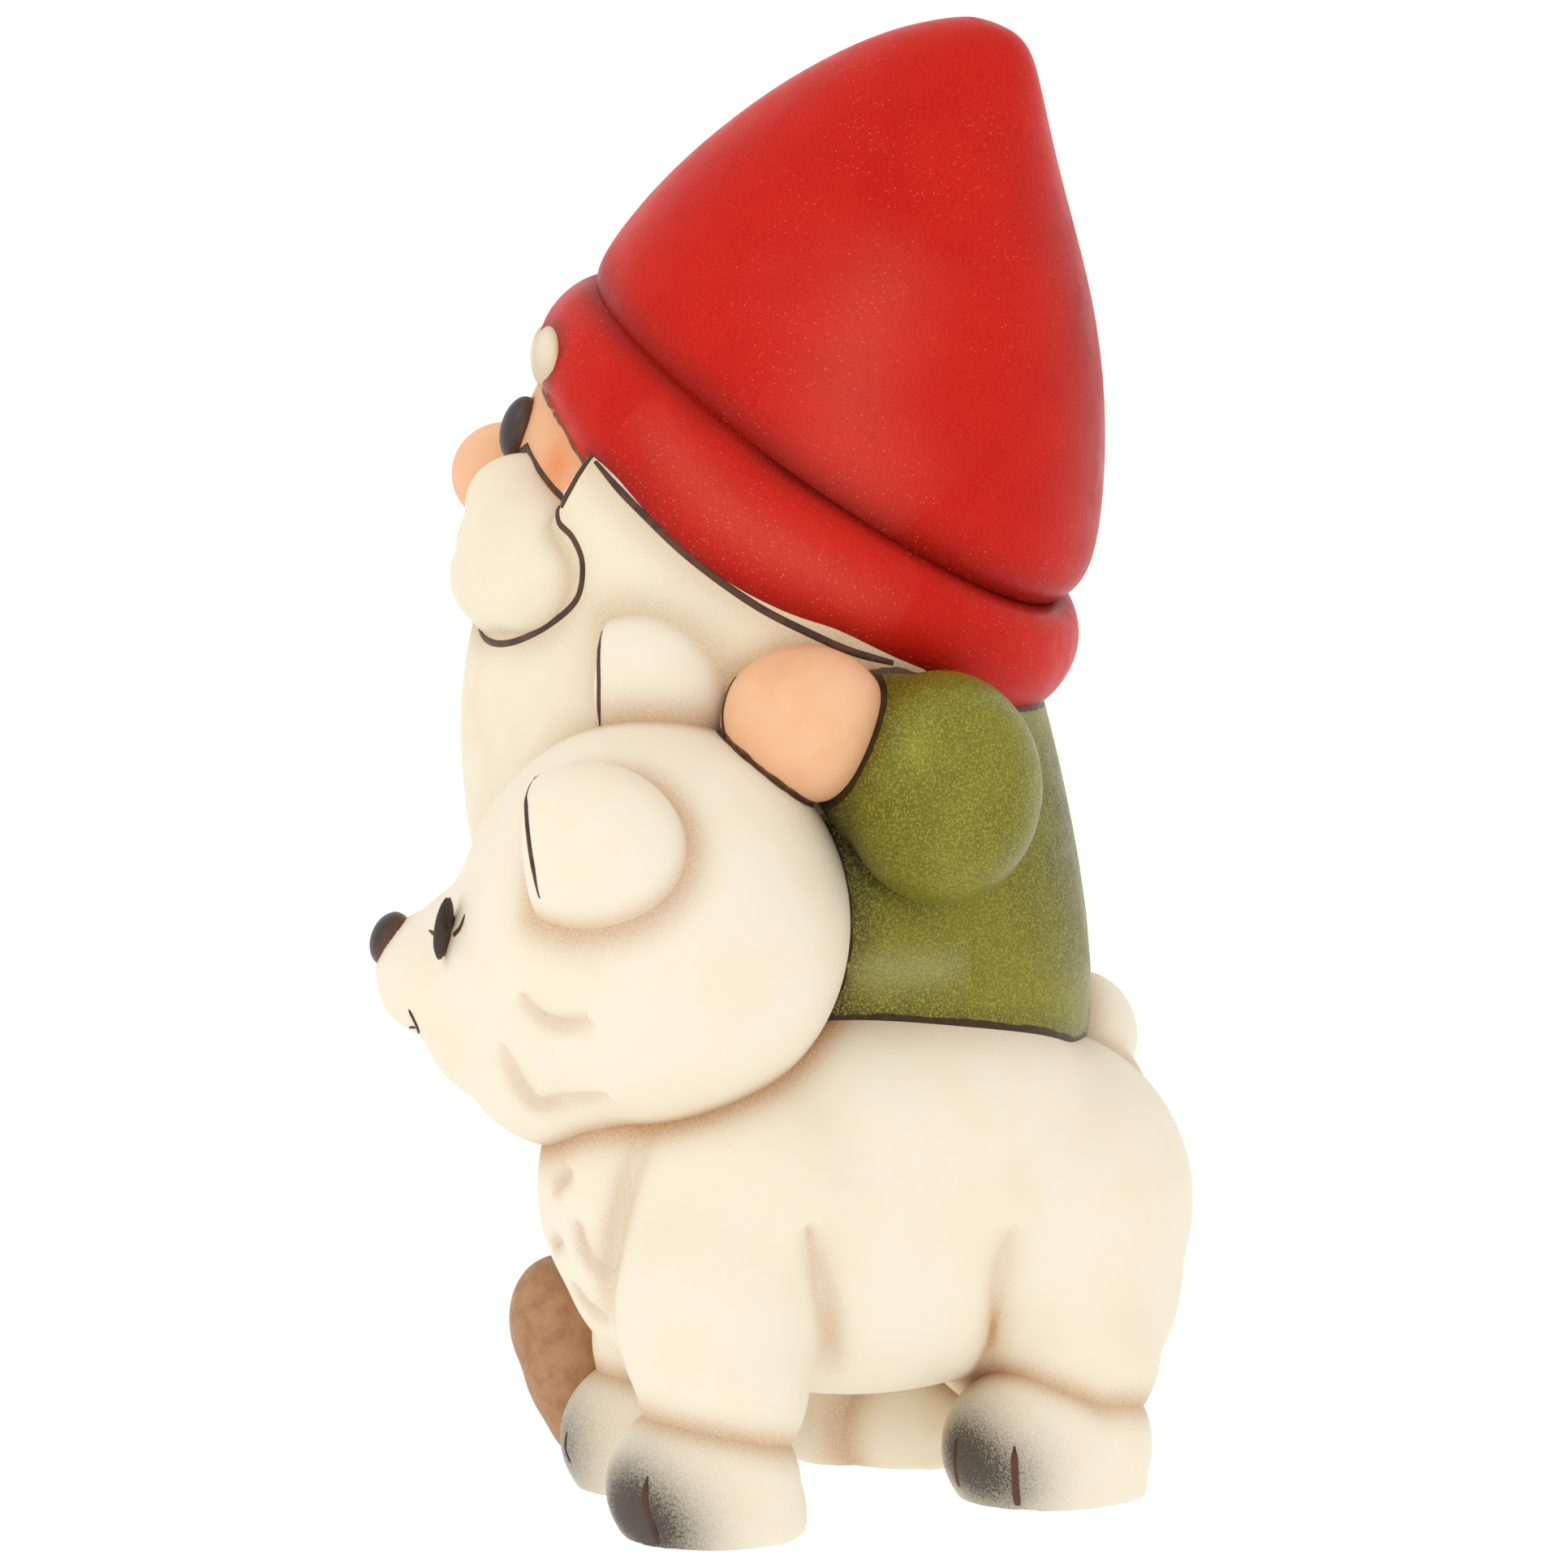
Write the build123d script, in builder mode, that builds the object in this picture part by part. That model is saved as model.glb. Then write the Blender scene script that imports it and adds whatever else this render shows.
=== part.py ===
"""Tomte gnome riding side-saddle on a white fox: a slip-cast earthenware figurine.

The figurine is cast as separate pieces, which are luted together with slip before firing. Each piece is
one node here. The large castings are hollow, with walls of CAST_WALL, and joined by drain holes; the small
ones are pressed solid. Neighbouring pieces meet face to face: a piece is cut to the form it sits against.

Millimetres, +Z up. The gnome faces -Y and the plane of symmetry of its head and hat is X = GNOME_X.
The origin is on the table, under the middle of the whole figurine's footprint.
"""
from build123d import *
import math
import os

# Driving dimensions
CAST_WALL = 4.0  # wall of a hollow casting
DRAIN_RADIUS = 3.5  # drain hole from one hollow casting into the next, and out of the belly
GNOME_X = -13.3  # the gnome's plane of symmetry
GNOME_Y = -0.65  # the gnome's vertical axis
FOX_HEADING = -45.0  # the fox's body points this many degrees from +X
FOX_HEAD_ROLL = 19.0  # the fox's head leans outwards
FOX_HEAD_YAW = -2.0  # and is turned a little towards the gnome

# Hat: its axis leans back from the vertical, and all its stations are measured along that axis
HAT_LEAN = 34.0
HAT_ORIGIN_Y = 1.5
HAT_ORIGIN_Z = 129.9
HAT_WIDTH_SHARE = 0.96  # side-to-side width of the crown against its front-to-back length
# height along the axis, centre's offset towards the back, half length front to back
CROWN_STATIONS = [
    (2.0, 0.5, 37.6),
    (11.0, -1.4, 38.7),
    (21.0, -3.1, 35.8),
    (32.0, -5.7, 31.0),
    (42.0, -8.1, 24.0),
    (52.0, -11.0, 15.0),
    (58.7, -11.9, 8.0),
    (61.8, -12.3, 3.4),
]
BRIM_RADIUS = 35.4
BRIM_HALF_THICKNESS = 6.0
BRIM_HALF_HEIGHT = 7.6
BRIM_RISE = -2.0

# Gnome's head and beard
HEAD_CENTRE = (0.0, -5.5, 127.0)
HEAD_RADIUS = 32.5
# height, centre's offset towards the back, half width, half depth
BEARD_STATIONS = [
    (52.0, -16.0, 9.0, 9.0),
    (57.0, -15.5, 18.0, 18.0),
    (66.0, -13.5, 26.0, 27.0),
    (78.0, -11.0, 31.5, 34.0),
    (90.0, -8.5, 35.0, 37.5),
    (101.0, -6.0, 36.5, 40.0),
    (112.0, -4.5, 36.5, 38.0),
    (121.0, -4.0, 34.5, 34.5),
    (130.0, -4.0, 29.0, 29.0),
]
FACE_OPENING_Z = 136.0
FACE_OPENING_RADII = (24.5, 15.0)
NOSE_CENTRE = (0.0, -41.0, 129.7)
NOSE_RADIUS = 6.5
MOUSTACHE_CENTRE = (14.5, -31.6, 117.6)
MOUSTACHE_EGG = (13.0, 11.0)  # eggs are given as half length, half width
MOUSTACHE_LEAN = -12.0
EYE_CENTRE = (9.8, -34.4, 136.2)
EYE_EGG = (4.0, 2.2)
FORELOCK_CENTRE = (0.0, -34.6, 142.6)
FORELOCK_EGG = (5.0, 3.8)

# Gnome's body
# height, centre's offset towards the back, half width, half depth
COAT_STATIONS = [
    (36.0, 3.0, 20.0, 18.0),
    (41.0, 3.5, 27.0, 27.0),
    (52.0, 4.0, 32.5, 34.0),
    (66.0, 3.6, 33.0, 35.2),
    (80.0, 3.6, 31.5, 33.2),
    (90.0, 4.2, 29.5, 30.6),
    (100.0, 5.2, 26.0, 26.6),
    (108.0, 6.0, 21.5, 21.5),
]
COAT_VENT_Z = 84.0
COAT_VENT_REACH = 40.0
SLEEVE_CENTRE = (31.0, 26.0, 93.5)
SLEEVE_EGG = (14.6, 13.2)
HAND_CENTRE = (34.5, 9.6, 101.6)
HAND_RADIUS = 10.0
RIGHT_SLEEVE_CENTRE = (-33.0, 8.0, 84.0)
RIGHT_SLEEVE_EGG = (16.0, 12.2)
RIGHT_SLEEVE_LEAN = 30.0
RIGHT_HAND_CENTRE = (-31.0, -8.0, 71.0)
RIGHT_HAND_RADIUS = 9.2
LEG_X = 10.6
SEAT_Y, SEAT_Z = -10.0, 50.0
ANKLE_Y, ANKLE_Z = -24.0, 20.0
THIGH_RADIUS = 10.4
CUFF_RADIUS = 7.6
BOOT_CENTRE_Y, BOOT_CENTRE_Z = -26.3, 13.9
BOOT_EGG = (15.2, 8.7)
BOOT_LEAN = 22.0  # the sole faces forwards and down

# Fox, in the gnome's frame: body castings
FOX_CENTRE = (14.9, 12.6, 39.5)
FOX_EGG = (45.0, 24.6)
FOX_PAWS = {  # paw centre on the table
    "front_left": (46.1, 0.3),
    "front_right": (18.7, -13.8),
    "hind_left": (11.9, 35.9),
    "hind_right": (-7.6, 12.8),
}
LEG_RADIUS = 11.4
LEG_HEIGHT = 34.0
PAW_EGG = (13.4, 12.4)
PAW_HEIGHT_CENTRE = 7.6
ANKLE_HEIGHT = 15.0
BIB_CENTRE = (35.4, -10.4, 41.0)
BIB_EGG = (18.5, 13.8)
WEB_THICKNESS = 14.0
WEB_FOOT = 9.0
TAIL_PLACES = [0.0, 0.35, 0.7, 1.0]
TAIL_POINTS = [(-4.0, 36.0, 40.0), (-13.0, 36.5, 47.0), (-19.0, 32.6, 53.5), (-22.0, 27.0, 59.0)]
TAIL_RADII = [6.0, 9.6, 8.6, 3.6]

# Fox's head, about its own centre
FOX_HEAD_CENTRE = (39.5, -8.5, 76.2)
FOX_HEAD_EGG = (26.4, 24.9)
MUZZLE_CENTRE = (0.0, -24.5, -8.6)
MUZZLE_EGG = (13.4, 11.0)
CHEEK_CENTRE = (12.5, -14.5, -14.0)
CHEEK_RADIUS = 7.4
FOX_NOSE_CENTRE = (0.0, -35.0, -3.6)
FOX_NOSE_RADIUS = 3.5
FOX_EYE_CENTRE = (10.8, -22.6, 3.4)
FOX_EYE_EGG = (4.2, 2.0)
EAR_CENTRE = (16.0, -0.6, 19.6)
EAR_EGG = (12.4, 10.0)
EAR_LEAN = 16.0
EAR_FACE_Y = -8.6  # the ear's flat front lies this far in front of its centre


def gnome_point(offset):
    """A point given from the gnome's axis at the table, in the part's frame."""
    return Vector(offset[0] + GNOME_X, offset[1] + GNOME_Y, offset[2])


def egg(place, size):
    """An egg: a spheroid whose long axis is the Z of its place; size is half length, half width."""
    half_length, half_width = size
    level = Plane(place)
    side_on = Plane(origin=level.origin, x_dir=level.z_dir, z_dir=-level.y_dir)
    with BuildPart() as form:
        with BuildSketch(side_on):
            Ellipse(half_length, half_width)
            Rectangle(2 * half_length, half_width, align=(Align.CENTER, Align.MIN), mode=Mode.INTERSECT)
        revolve(axis=Axis(side_on.origin, side_on.x_dir))
    return form.part


def cast_inside(size):
    """An egg's size, less the wall of a casting."""
    return tuple(length - CAST_WALL for length in size)


def oval_stack(stations):
    """A smooth body through level ovals: height, offset towards the back, half width, half depth."""
    with BuildPart() as form:
        for height, back, half_width, half_depth in stations:
            level = Plane(origin=gnome_point((0, back, height)), x_dir=(1, 0, 0), z_dir=(0, 0, 1))
            with BuildSketch(level):
                Ellipse(half_width, half_depth)
        loft()
    return form.part


def shrunk(stations):
    """The same stations, taken in by the wall of a casting all round."""
    inner = []
    for height, back, half_width, half_depth in stations:
        if half_width > 2.5 * CAST_WALL:
            inner.append((height, back, half_width - CAST_WALL, half_depth - CAST_WALL))
    inner[0] = (inner[0][0] + CAST_WALL / 2, *inner[0][1:])
    inner[-1] = (inner[-1][0] - CAST_WALL / 2, *inner[-1][1:])
    return inner


def cut_to(*neighbours):
    """Cuts the part being built back to the forms that it sits against."""
    for neighbour in neighbours:
        add(neighbour, mode=Mode.SUBTRACT)


# Places
hat_tilt = math.radians(HAT_LEAN)
hat_axis = Vector(0, math.sin(hat_tilt), math.cos(hat_tilt))
hat_back = Vector(0, math.cos(hat_tilt), -math.sin(hat_tilt))
hat_origin = gnome_point((0, HAT_ORIGIN_Y, HAT_ORIGIN_Z))
head_place = Location(gnome_point(HEAD_CENTRE))
fox_place = Location(gnome_point(FOX_CENTRE), (0, 0, FOX_HEADING)) * Location((0, 0, 0), (0, 90, 0))
fox_head_place = Location(gnome_point(FOX_HEAD_CENTRE), (0, FOX_HEAD_ROLL, FOX_HEAD_YAW))


def hat_level(rise, back=0.0):
    """A plane square to the hat's axis; its Y runs towards the back of the hat."""
    return Plane(origin=hat_origin + hat_axis * rise + hat_back * back, x_dir=(1, 0, 0), z_dir=hat_axis)


def crown(wall):
    """The hat's crown, taken in by a wall."""
    with BuildPart() as form:
        for rise, back, half in CROWN_STATIONS:
            if half > 2 * wall:
                with BuildSketch(hat_level(rise - wall / 2, back)):
                    Ellipse((half - wall) * HAT_WIDTH_SHARE, half - wall)
        loft()
    return form.part


# Forms: the outer shapes that other pieces are cut to
fox_torso_form = egg(fox_place, FOX_EGG)
fox_skull_form = egg(fox_head_place, FOX_HEAD_EGG)
muzzle_form = egg(fox_head_place * Location(MUZZLE_CENTRE, (90, 0, 0)), MUZZLE_EGG)
with BuildPart() as head_form:
    with Locations(head_place):
        Sphere(HEAD_RADIUS)
with BuildPart() as brim_form:
    with BuildSketch(Plane(origin=hat_origin, x_dir=(0, hat_back.Y, hat_back.Z), z_dir=(-1, 0, 0))) as roll:
        with Locations((BRIM_RADIUS, BRIM_RISE)):
            Ellipse(BRIM_HALF_THICKNESS, BRIM_HALF_HEIGHT)
    revolve(axis=Axis(hat_origin, hat_axis))
beard_form = oval_stack(BEARD_STATIONS)
coat_form = oval_stack(COAT_STATIONS)
crown_form = crown(0.0)

# Fox
with BuildPart() as fox_torso:
    add(fox_torso_form)
    cut_to(egg(fox_place, cast_inside(FOX_EGG)))
    with BuildSketch(Plane(origin=gnome_point((FOX_CENTRE[0], FOX_CENTRE[1], 0)))):
        Circle(DRAIN_RADIUS)
    extrude(amount=FOX_CENTRE[2], mode=Mode.SUBTRACT)
fox_torso.part.label = "fox_torso"

with BuildPart() as fox_head:
    add(fox_skull_form)
    cut_to(egg(fox_head_place, cast_inside(FOX_HEAD_EGG)), fox_torso_form)
fox_head.part.label = "fox_head"

with BuildPart() as fox_muzzle:
    add(muzzle_form)
    cut_to(fox_skull_form)
fox_muzzle.part.label = "fox_muzzle"

with BuildPart() as fox_nose:
    with Locations(fox_head_place * Location(FOX_NOSE_CENTRE)):
        Sphere(FOX_NOSE_RADIUS)
    cut_to(muzzle_form)
fox_nose.part.label = "fox_nose"

fox_eyes = []
fox_ears = []
for side, name in ((1, "left"), (-1, "right")):
    with BuildPart() as fox_eye:
        x, y, z = FOX_EYE_CENTRE
        add(egg(fox_head_place * Location((side * x, y, z)), FOX_EYE_EGG))
        cut_to(fox_skull_form, muzzle_form)
    fox_eye.part.label = f"fox_eye_{name}"
    fox_eyes.append(fox_eye)
    with BuildPart() as fox_ear:
        x, y, z = EAR_CENTRE
        ear_place = fox_head_place * Location((side * x, y, z), (0, side * EAR_LEAN, 0))
        add(egg(ear_place, EAR_EGG))
        with Locations(ear_place * Location((0, EAR_FACE_Y - EAR_EGG[1] / 2, 0))):
            Box(3 * EAR_EGG[1], EAR_EGG[1], 3 * EAR_EGG[0], mode=Mode.SUBTRACT)
        cut_to(fox_skull_form)
    fox_ear.part.label = f"fox_ear_{name}"
    fox_ears.append(fox_ear)

fox_legs = []
fox_paws = []
leg_forms = []
for name, (x, y) in FOX_PAWS.items():
    with BuildPart() as paw_form:
        paw_place = Location(gnome_point((x, y, PAW_HEIGHT_CENTRE)), (0, 0, FOX_HEADING))
        add(egg(paw_place * Location((0, 0, 0), (0, 90, 0)), PAW_EGG))
        split(bisect_by=Plane.XY, keep=Keep.TOP)
        split(bisect_by=Plane.XY.offset(ANKLE_HEIGHT), keep=Keep.BOTTOM)
    with BuildPart() as leg_form:
        with BuildSketch(Plane(origin=gnome_point((x, y, ANKLE_HEIGHT)))):
            Circle(LEG_RADIUS)
        extrude(amount=LEG_HEIGHT - ANKLE_HEIGHT)
    with BuildPart() as fox_paw:
        add(paw_form.part)
        cut_to(fox_torso_form, *(form.part for form in leg_forms[0::2]))
    fox_paw.part.label = f"fox_paw_{name}"
    with BuildPart() as fox_leg:
        add(leg_form.part)
        cut_to(fox_torso_form, *(form.part for form in leg_forms[1::2]))
    fox_leg.part.label = f"fox_leg_{name}"
    leg_forms += [paw_form, leg_form]
    fox_paws.append(fox_paw)
    fox_legs.append(fox_leg)

with BuildPart() as fox_belly_web:
    web_front = gnome_point((*FOX_PAWS["front_right"], WEB_FOOT))
    web_hind = gnome_point((*FOX_PAWS["hind_right"], WEB_FOOT))
    web_run = web_hind - web_front
    with BuildSketch(Plane(origin=(web_front + web_hind) / 2, x_dir=web_run, z_dir=(0, 0, 1))):
        Rectangle(web_run.length, WEB_THICKNESS)
    extrude(amount=LEG_HEIGHT - WEB_FOOT)
    cut_to(fox_torso_form, *(form.part for form in leg_forms))
fox_belly_web.part.label = "fox_belly_web"

with BuildPart() as fox_bib:
    add(egg(Location(gnome_point(BIB_CENTRE)), BIB_EGG))
    cut_to(fox_torso_form, fox_skull_form, muzzle_form, *(form.part for form in leg_forms))
fox_bib.part.label = "fox_bib"

fox_cheeks = []
for side, name in ((1, "left"), (-1, "right")):
    with BuildPart() as fox_cheek:
        x, y, z = CHEEK_CENTRE
        with Locations(fox_head_place * Location((side * x, y, z))):
            Sphere(CHEEK_RADIUS)
        cut_to(fox_skull_form, muzzle_form, fox_torso_form, fox_bib.part)
    fox_cheek.part.label = f"fox_cheek_tuft_{name}"
    fox_cheeks.append(fox_cheek)

with BuildPart() as fox_tail:
    with BuildLine():
        tail_line = Spline(*(gnome_point(point) for point in TAIL_POINTS))
    for place, radius in zip(TAIL_PLACES, TAIL_RADII):
        with BuildSketch(Plane(origin=tail_line @ place, z_dir=tail_line % place)):
            Circle(radius)
    loft()
    cut_to(fox_torso_form, coat_form)
fox_tail.part.label = "fox_tail"

# Gnome
with BuildPart() as coat:
    add(coat_form)
    add(oval_stack(shrunk(COAT_STATIONS)), mode=Mode.SUBTRACT)
    with BuildSketch(Plane(origin=gnome_point((0, -COAT_VENT_REACH, COAT_VENT_Z)), z_dir=(0, 1, 0))):
        Circle(DRAIN_RADIUS)
    extrude(amount=COAT_VENT_REACH, mode=Mode.SUBTRACT)
    cut_to(fox_torso_form, fox_skull_form, head_form.part, brim_form.part)
    cut_to(*(piece.part for piece in fox_ears + fox_cheeks))
coat.part.label = "gnome_coat"

with BuildPart() as head:
    add(head_form.part)
    with Locations(head_place):
        Sphere(HEAD_RADIUS - CAST_WALL, mode=Mode.SUBTRACT)
    with BuildSketch(Plane(origin=gnome_point((0, 0, HEAD_CENTRE[2] - HEAD_RADIUS - 1)))):
        Circle(DRAIN_RADIUS)
    extrude(amount=HEAD_RADIUS / 2, mode=Mode.SUBTRACT)
    cut_to(crown_form, brim_form.part, *(ear.part for ear in fox_ears))
head.part.label = "gnome_head"

with BuildPart() as beard:
    add(beard_form)
    add(oval_stack(shrunk(BEARD_STATIONS)), mode=Mode.SUBTRACT)
    with BuildSketch(Plane(origin=gnome_point((0, HEAD_CENTRE[1], FACE_OPENING_Z)), z_dir=(0, -1, 0))):
        Ellipse(*FACE_OPENING_RADII)
    extrude(amount=2 * HEAD_RADIUS, mode=Mode.SUBTRACT)
    cut_to(head_form.part, coat_form, crown_form, brim_form.part, fox_skull_form)
    cut_to(*(piece.part for piece in fox_ears + fox_cheeks))
beard.part.label = "gnome_beard"

with BuildPart() as hat_brim:
    add(brim_form.part)
    cut_to(crown_form)
hat_brim.part.label = "hat_brim"

with BuildPart() as hat_crown:
    add(crown_form)
    add(crown(CAST_WALL), mode=Mode.SUBTRACT)
hat_crown.part.label = "hat_crown"

with BuildPart() as forelock:
    add(egg(Location(gnome_point(FORELOCK_CENTRE)), FORELOCK_EGG))
    cut_to(brim_form.part, crown_form, head_form.part)
forelock.part.label = "gnome_forelock"

with BuildPart() as nose:
    with Locations(gnome_point(NOSE_CENTRE)):
        Sphere(NOSE_RADIUS)
    cut_to(head_form.part)
nose.part.label = "gnome_nose"

moustaches = []
eyes = []
for side, keep, name in ((1, Keep.TOP, "left"), (-1, Keep.BOTTOM, "right")):
    with BuildPart() as moustache:
        x, y, z = MOUSTACHE_CENTRE
        lobe_place = Location(gnome_point((side * x, y, z)), (0, side * MOUSTACHE_LEAN, 0))
        add(egg(lobe_place, MOUSTACHE_EGG))
        split(bisect_by=Plane.YZ.offset(GNOME_X), keep=keep)
        cut_to(head_form.part, beard_form, nose.part)
    moustache.part.label = f"gnome_moustache_{name}"
    moustaches.append(moustache)
    with BuildPart() as eye:
        x, y, z = EYE_CENTRE
        add(egg(Location(gnome_point((side * x, y, z))), EYE_EGG))
        cut_to(head_form.part, nose.part)
    eye.part.label = f"gnome_eye_{name}"
    eyes.append(eye)

sleeve_form = egg(Location(gnome_point(SLEEVE_CENTRE)), SLEEVE_EGG)
with BuildPart() as sleeve_left:
    add(sleeve_form)
    cut_to(coat_form, beard_form, fox_skull_form, fox_torso_form)
sleeve_left.part.label = "gnome_sleeve_left"
with BuildPart() as hand_left:
    with Locations(gnome_point(HAND_CENTRE)):
        Sphere(HAND_RADIUS)
    cut_to(sleeve_form, coat_form, beard_form, fox_skull_form)
    cut_to(*(ear.part for ear in fox_ears))
hand_left.part.label = "gnome_hand_left"

right_sleeve_place = Location(gnome_point(RIGHT_SLEEVE_CENTRE), (RIGHT_SLEEVE_LEAN, 0, 0))
right_sleeve_form = egg(right_sleeve_place, RIGHT_SLEEVE_EGG)
with BuildPart() as sleeve_right:
    add(right_sleeve_form)
    cut_to(coat_form, beard_form)
sleeve_right.part.label = "gnome_sleeve_right"
with BuildPart() as hand_right:
    with Locations(gnome_point(RIGHT_HAND_CENTRE)):
        Sphere(RIGHT_HAND_RADIUS)
    cut_to(right_sleeve_form, coat_form, beard_form)
hand_right.part.label = "gnome_hand_right"

legs = []
boots = []
for side, name in ((1, "left"), (-1, "right")):
    with BuildPart() as boot_form:
        boot_centre = gnome_point((side * LEG_X, BOOT_CENTRE_Y, BOOT_CENTRE_Z))
        add(egg(Location(boot_centre, (BOOT_LEAN, 0, 0)), BOOT_EGG))
        split(bisect_by=Plane.XY, keep=Keep.TOP)
    with BuildPart() as boot:
        add(boot_form.part)
        cut_to(fox_torso_form, *(form.part for form in leg_forms))
    boot.part.label = f"gnome_boot_{name}"
    boots.append(boot)
    with BuildPart() as leg:
        seat = gnome_point((side * LEG_X, SEAT_Y, SEAT_Z))
        ankle = gnome_point((side * LEG_X, ANKLE_Y, ANKLE_Z))
        with BuildSketch(Plane(origin=seat, z_dir=ankle - seat)):
            Circle(THIGH_RADIUS)
        with BuildSketch(Plane(origin=ankle, z_dir=ankle - seat)):
            Circle(CUFF_RADIUS)
        loft()
        cut_to(coat_form, beard_form, fox_torso_form, boot_form.part)
        cut_to(fox_belly_web.part, *(form.part for form in leg_forms))
    leg.part.label = f"gnome_trouser_leg_{name}"
    legs.append(leg)

pieces = [hat_crown, hat_brim, forelock, head, nose, *eyes, *moustaches, beard, coat]
pieces += [sleeve_left, hand_left, sleeve_right, hand_right, *legs, *boots]
pieces += [fox_torso, fox_head, fox_muzzle, fox_nose, *fox_eyes, *fox_ears, *fox_cheeks]
pieces += [fox_bib, fox_belly_web, *fox_legs, *fox_paws, fox_tail]

os.makedirs("parts", exist_ok=True)
for piece in pieces:
    export_step(piece.part, f"parts/{piece.part.label}.step")

figurine = Compound(children=[piece.part for piece in pieces])
extent = figurine.bounding_box()
print(f"{len(pieces)} pieces, {extent.size.X:.2f} x {extent.size.Y:.2f} x {extent.size.Z:.2f} mm")
print(f"middle of the footprint {extent.center().X:.3f}, {extent.center().Y:.3f}, bottom {extent.min.Z:.3f}")
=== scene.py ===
"""Tomte gnome riding side-saddle on a white fox: a hand-painted, slip-cast figurine.

Every form is built as a potter would build it: eggs of clay are pressed together, the joins are smoothed,
creases are drawn in with a tool, and the figure is then painted, with outlines in the joins.
Sizes are in millimetres in the gnome's own frame: its axis is at the origin, on the table, and it faces -Y.
"""

import logging
import math
from dataclasses import dataclass, field
from enum import Enum
from typing import Sequence

import bpy
import numpy as np
from mathutils import Euler, Matrix, Vector
from mathutils.bvhtree import BVHTree


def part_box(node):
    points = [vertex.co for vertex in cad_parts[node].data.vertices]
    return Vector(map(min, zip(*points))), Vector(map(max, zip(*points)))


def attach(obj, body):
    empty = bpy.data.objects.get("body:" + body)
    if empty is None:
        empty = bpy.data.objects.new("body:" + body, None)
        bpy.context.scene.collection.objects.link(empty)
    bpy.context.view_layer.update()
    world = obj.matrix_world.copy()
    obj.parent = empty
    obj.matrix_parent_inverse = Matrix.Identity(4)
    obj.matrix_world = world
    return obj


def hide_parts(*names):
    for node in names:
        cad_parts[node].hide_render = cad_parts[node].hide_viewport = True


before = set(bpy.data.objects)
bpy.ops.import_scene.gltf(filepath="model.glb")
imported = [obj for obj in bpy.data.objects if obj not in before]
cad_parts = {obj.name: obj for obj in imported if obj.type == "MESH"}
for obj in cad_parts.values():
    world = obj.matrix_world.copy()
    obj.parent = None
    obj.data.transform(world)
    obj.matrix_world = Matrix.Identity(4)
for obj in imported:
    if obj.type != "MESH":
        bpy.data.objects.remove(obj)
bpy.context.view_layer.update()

log = logging.getLogger("figurine")

Triple = tuple[float, float, float]
Path = Sequence[Triple]

MM = 0.001
NOSE_TIP_Y = -47.5  # where the gnome's nose ends, from its own axis
NOSE_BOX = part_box("gnome_nose")
AXIS = Vector(((NOSE_BOX[0][0] + NOSE_BOX[1][0]) / 2, NOSE_BOX[0][1] - NOSE_TIP_Y * MM, 0.0))


def at(point: Triple) -> Vector:
    """A point of the gnome's frame, in millimetres, as a place in the scene."""
    return AXIS + Vector(point) * MM


# --------------------------------------------------------------------------------------------- clay


@dataclass(frozen=True)
class Egg:
    """A lump of clay: an ellipsoid with its centre, half sizes and turn in degrees."""

    centre: Triple
    radii: Triple
    turn: Triple = (0.0, 0.0, 0.0)


@dataclass(frozen=True)
class Ring:
    """An oval section of a turned form, in the plane that leans about the gnome's left-right axis."""

    centre: Triple
    half_width: float
    half_depth: float
    lean: float = 0.0


@dataclass(frozen=True)
class Pad:
    """A lump laid on the roundness of the face: its angle from the front, height and half sizes."""

    around: float
    height: float
    reach: tuple[float, float]


@dataclass(frozen=True)
class Crease:
    """A line drawn into the clay with a modelling tool."""

    path: Path
    depth: float
    width: float


@dataclass(frozen=True)
class Frame:
    """A place with its own axes, such as the fox's head, that lumps are laid out in."""

    origin: Triple
    turn: Triple

    def matrix(self) -> Matrix:
        """The frame's turn and place, in millimetres."""
        turn = Euler([math.radians(angle) for angle in self.turn]).to_matrix().to_4x4()
        return Matrix.Translation(self.origin) @ turn


def only(piece: bpy.types.Object) -> None:
    """Selects one object and makes it active.

    Args:
        piece: the object to select.
    """
    bpy.ops.object.select_all(action="DESELECT")
    piece.select_set(True)
    bpy.context.view_layer.objects.active = piece


def apply_modifier(piece: bpy.types.Object, kind: str, **settings: object) -> None:
    """Adds a modifier to a piece and applies it.

    Args:
        piece: the object that is changed.
        kind: Blender's name for the kind of modifier.
        settings: the modifier's own settings.
    """
    only(piece)
    modifier = piece.modifiers.new(kind.lower(), kind)
    for name, value in settings.items():
        setattr(modifier, name, value)
    bpy.ops.object.modifier_apply(modifier=modifier.name)


def settle(piece: bpy.types.Object, name: str) -> bpy.types.Object:
    """Puts a piece's place into its mesh and names it.

    Args:
        piece: the object to finish.
        name: its name, and its mesh's.

    Returns:
        The same object, at the origin, unturned and unscaled.
    """
    only(piece)
    bpy.ops.object.transform_apply(location=True, rotation=True, scale=True)
    piece.name = name
    piece.data.name = name
    return piece


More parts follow.
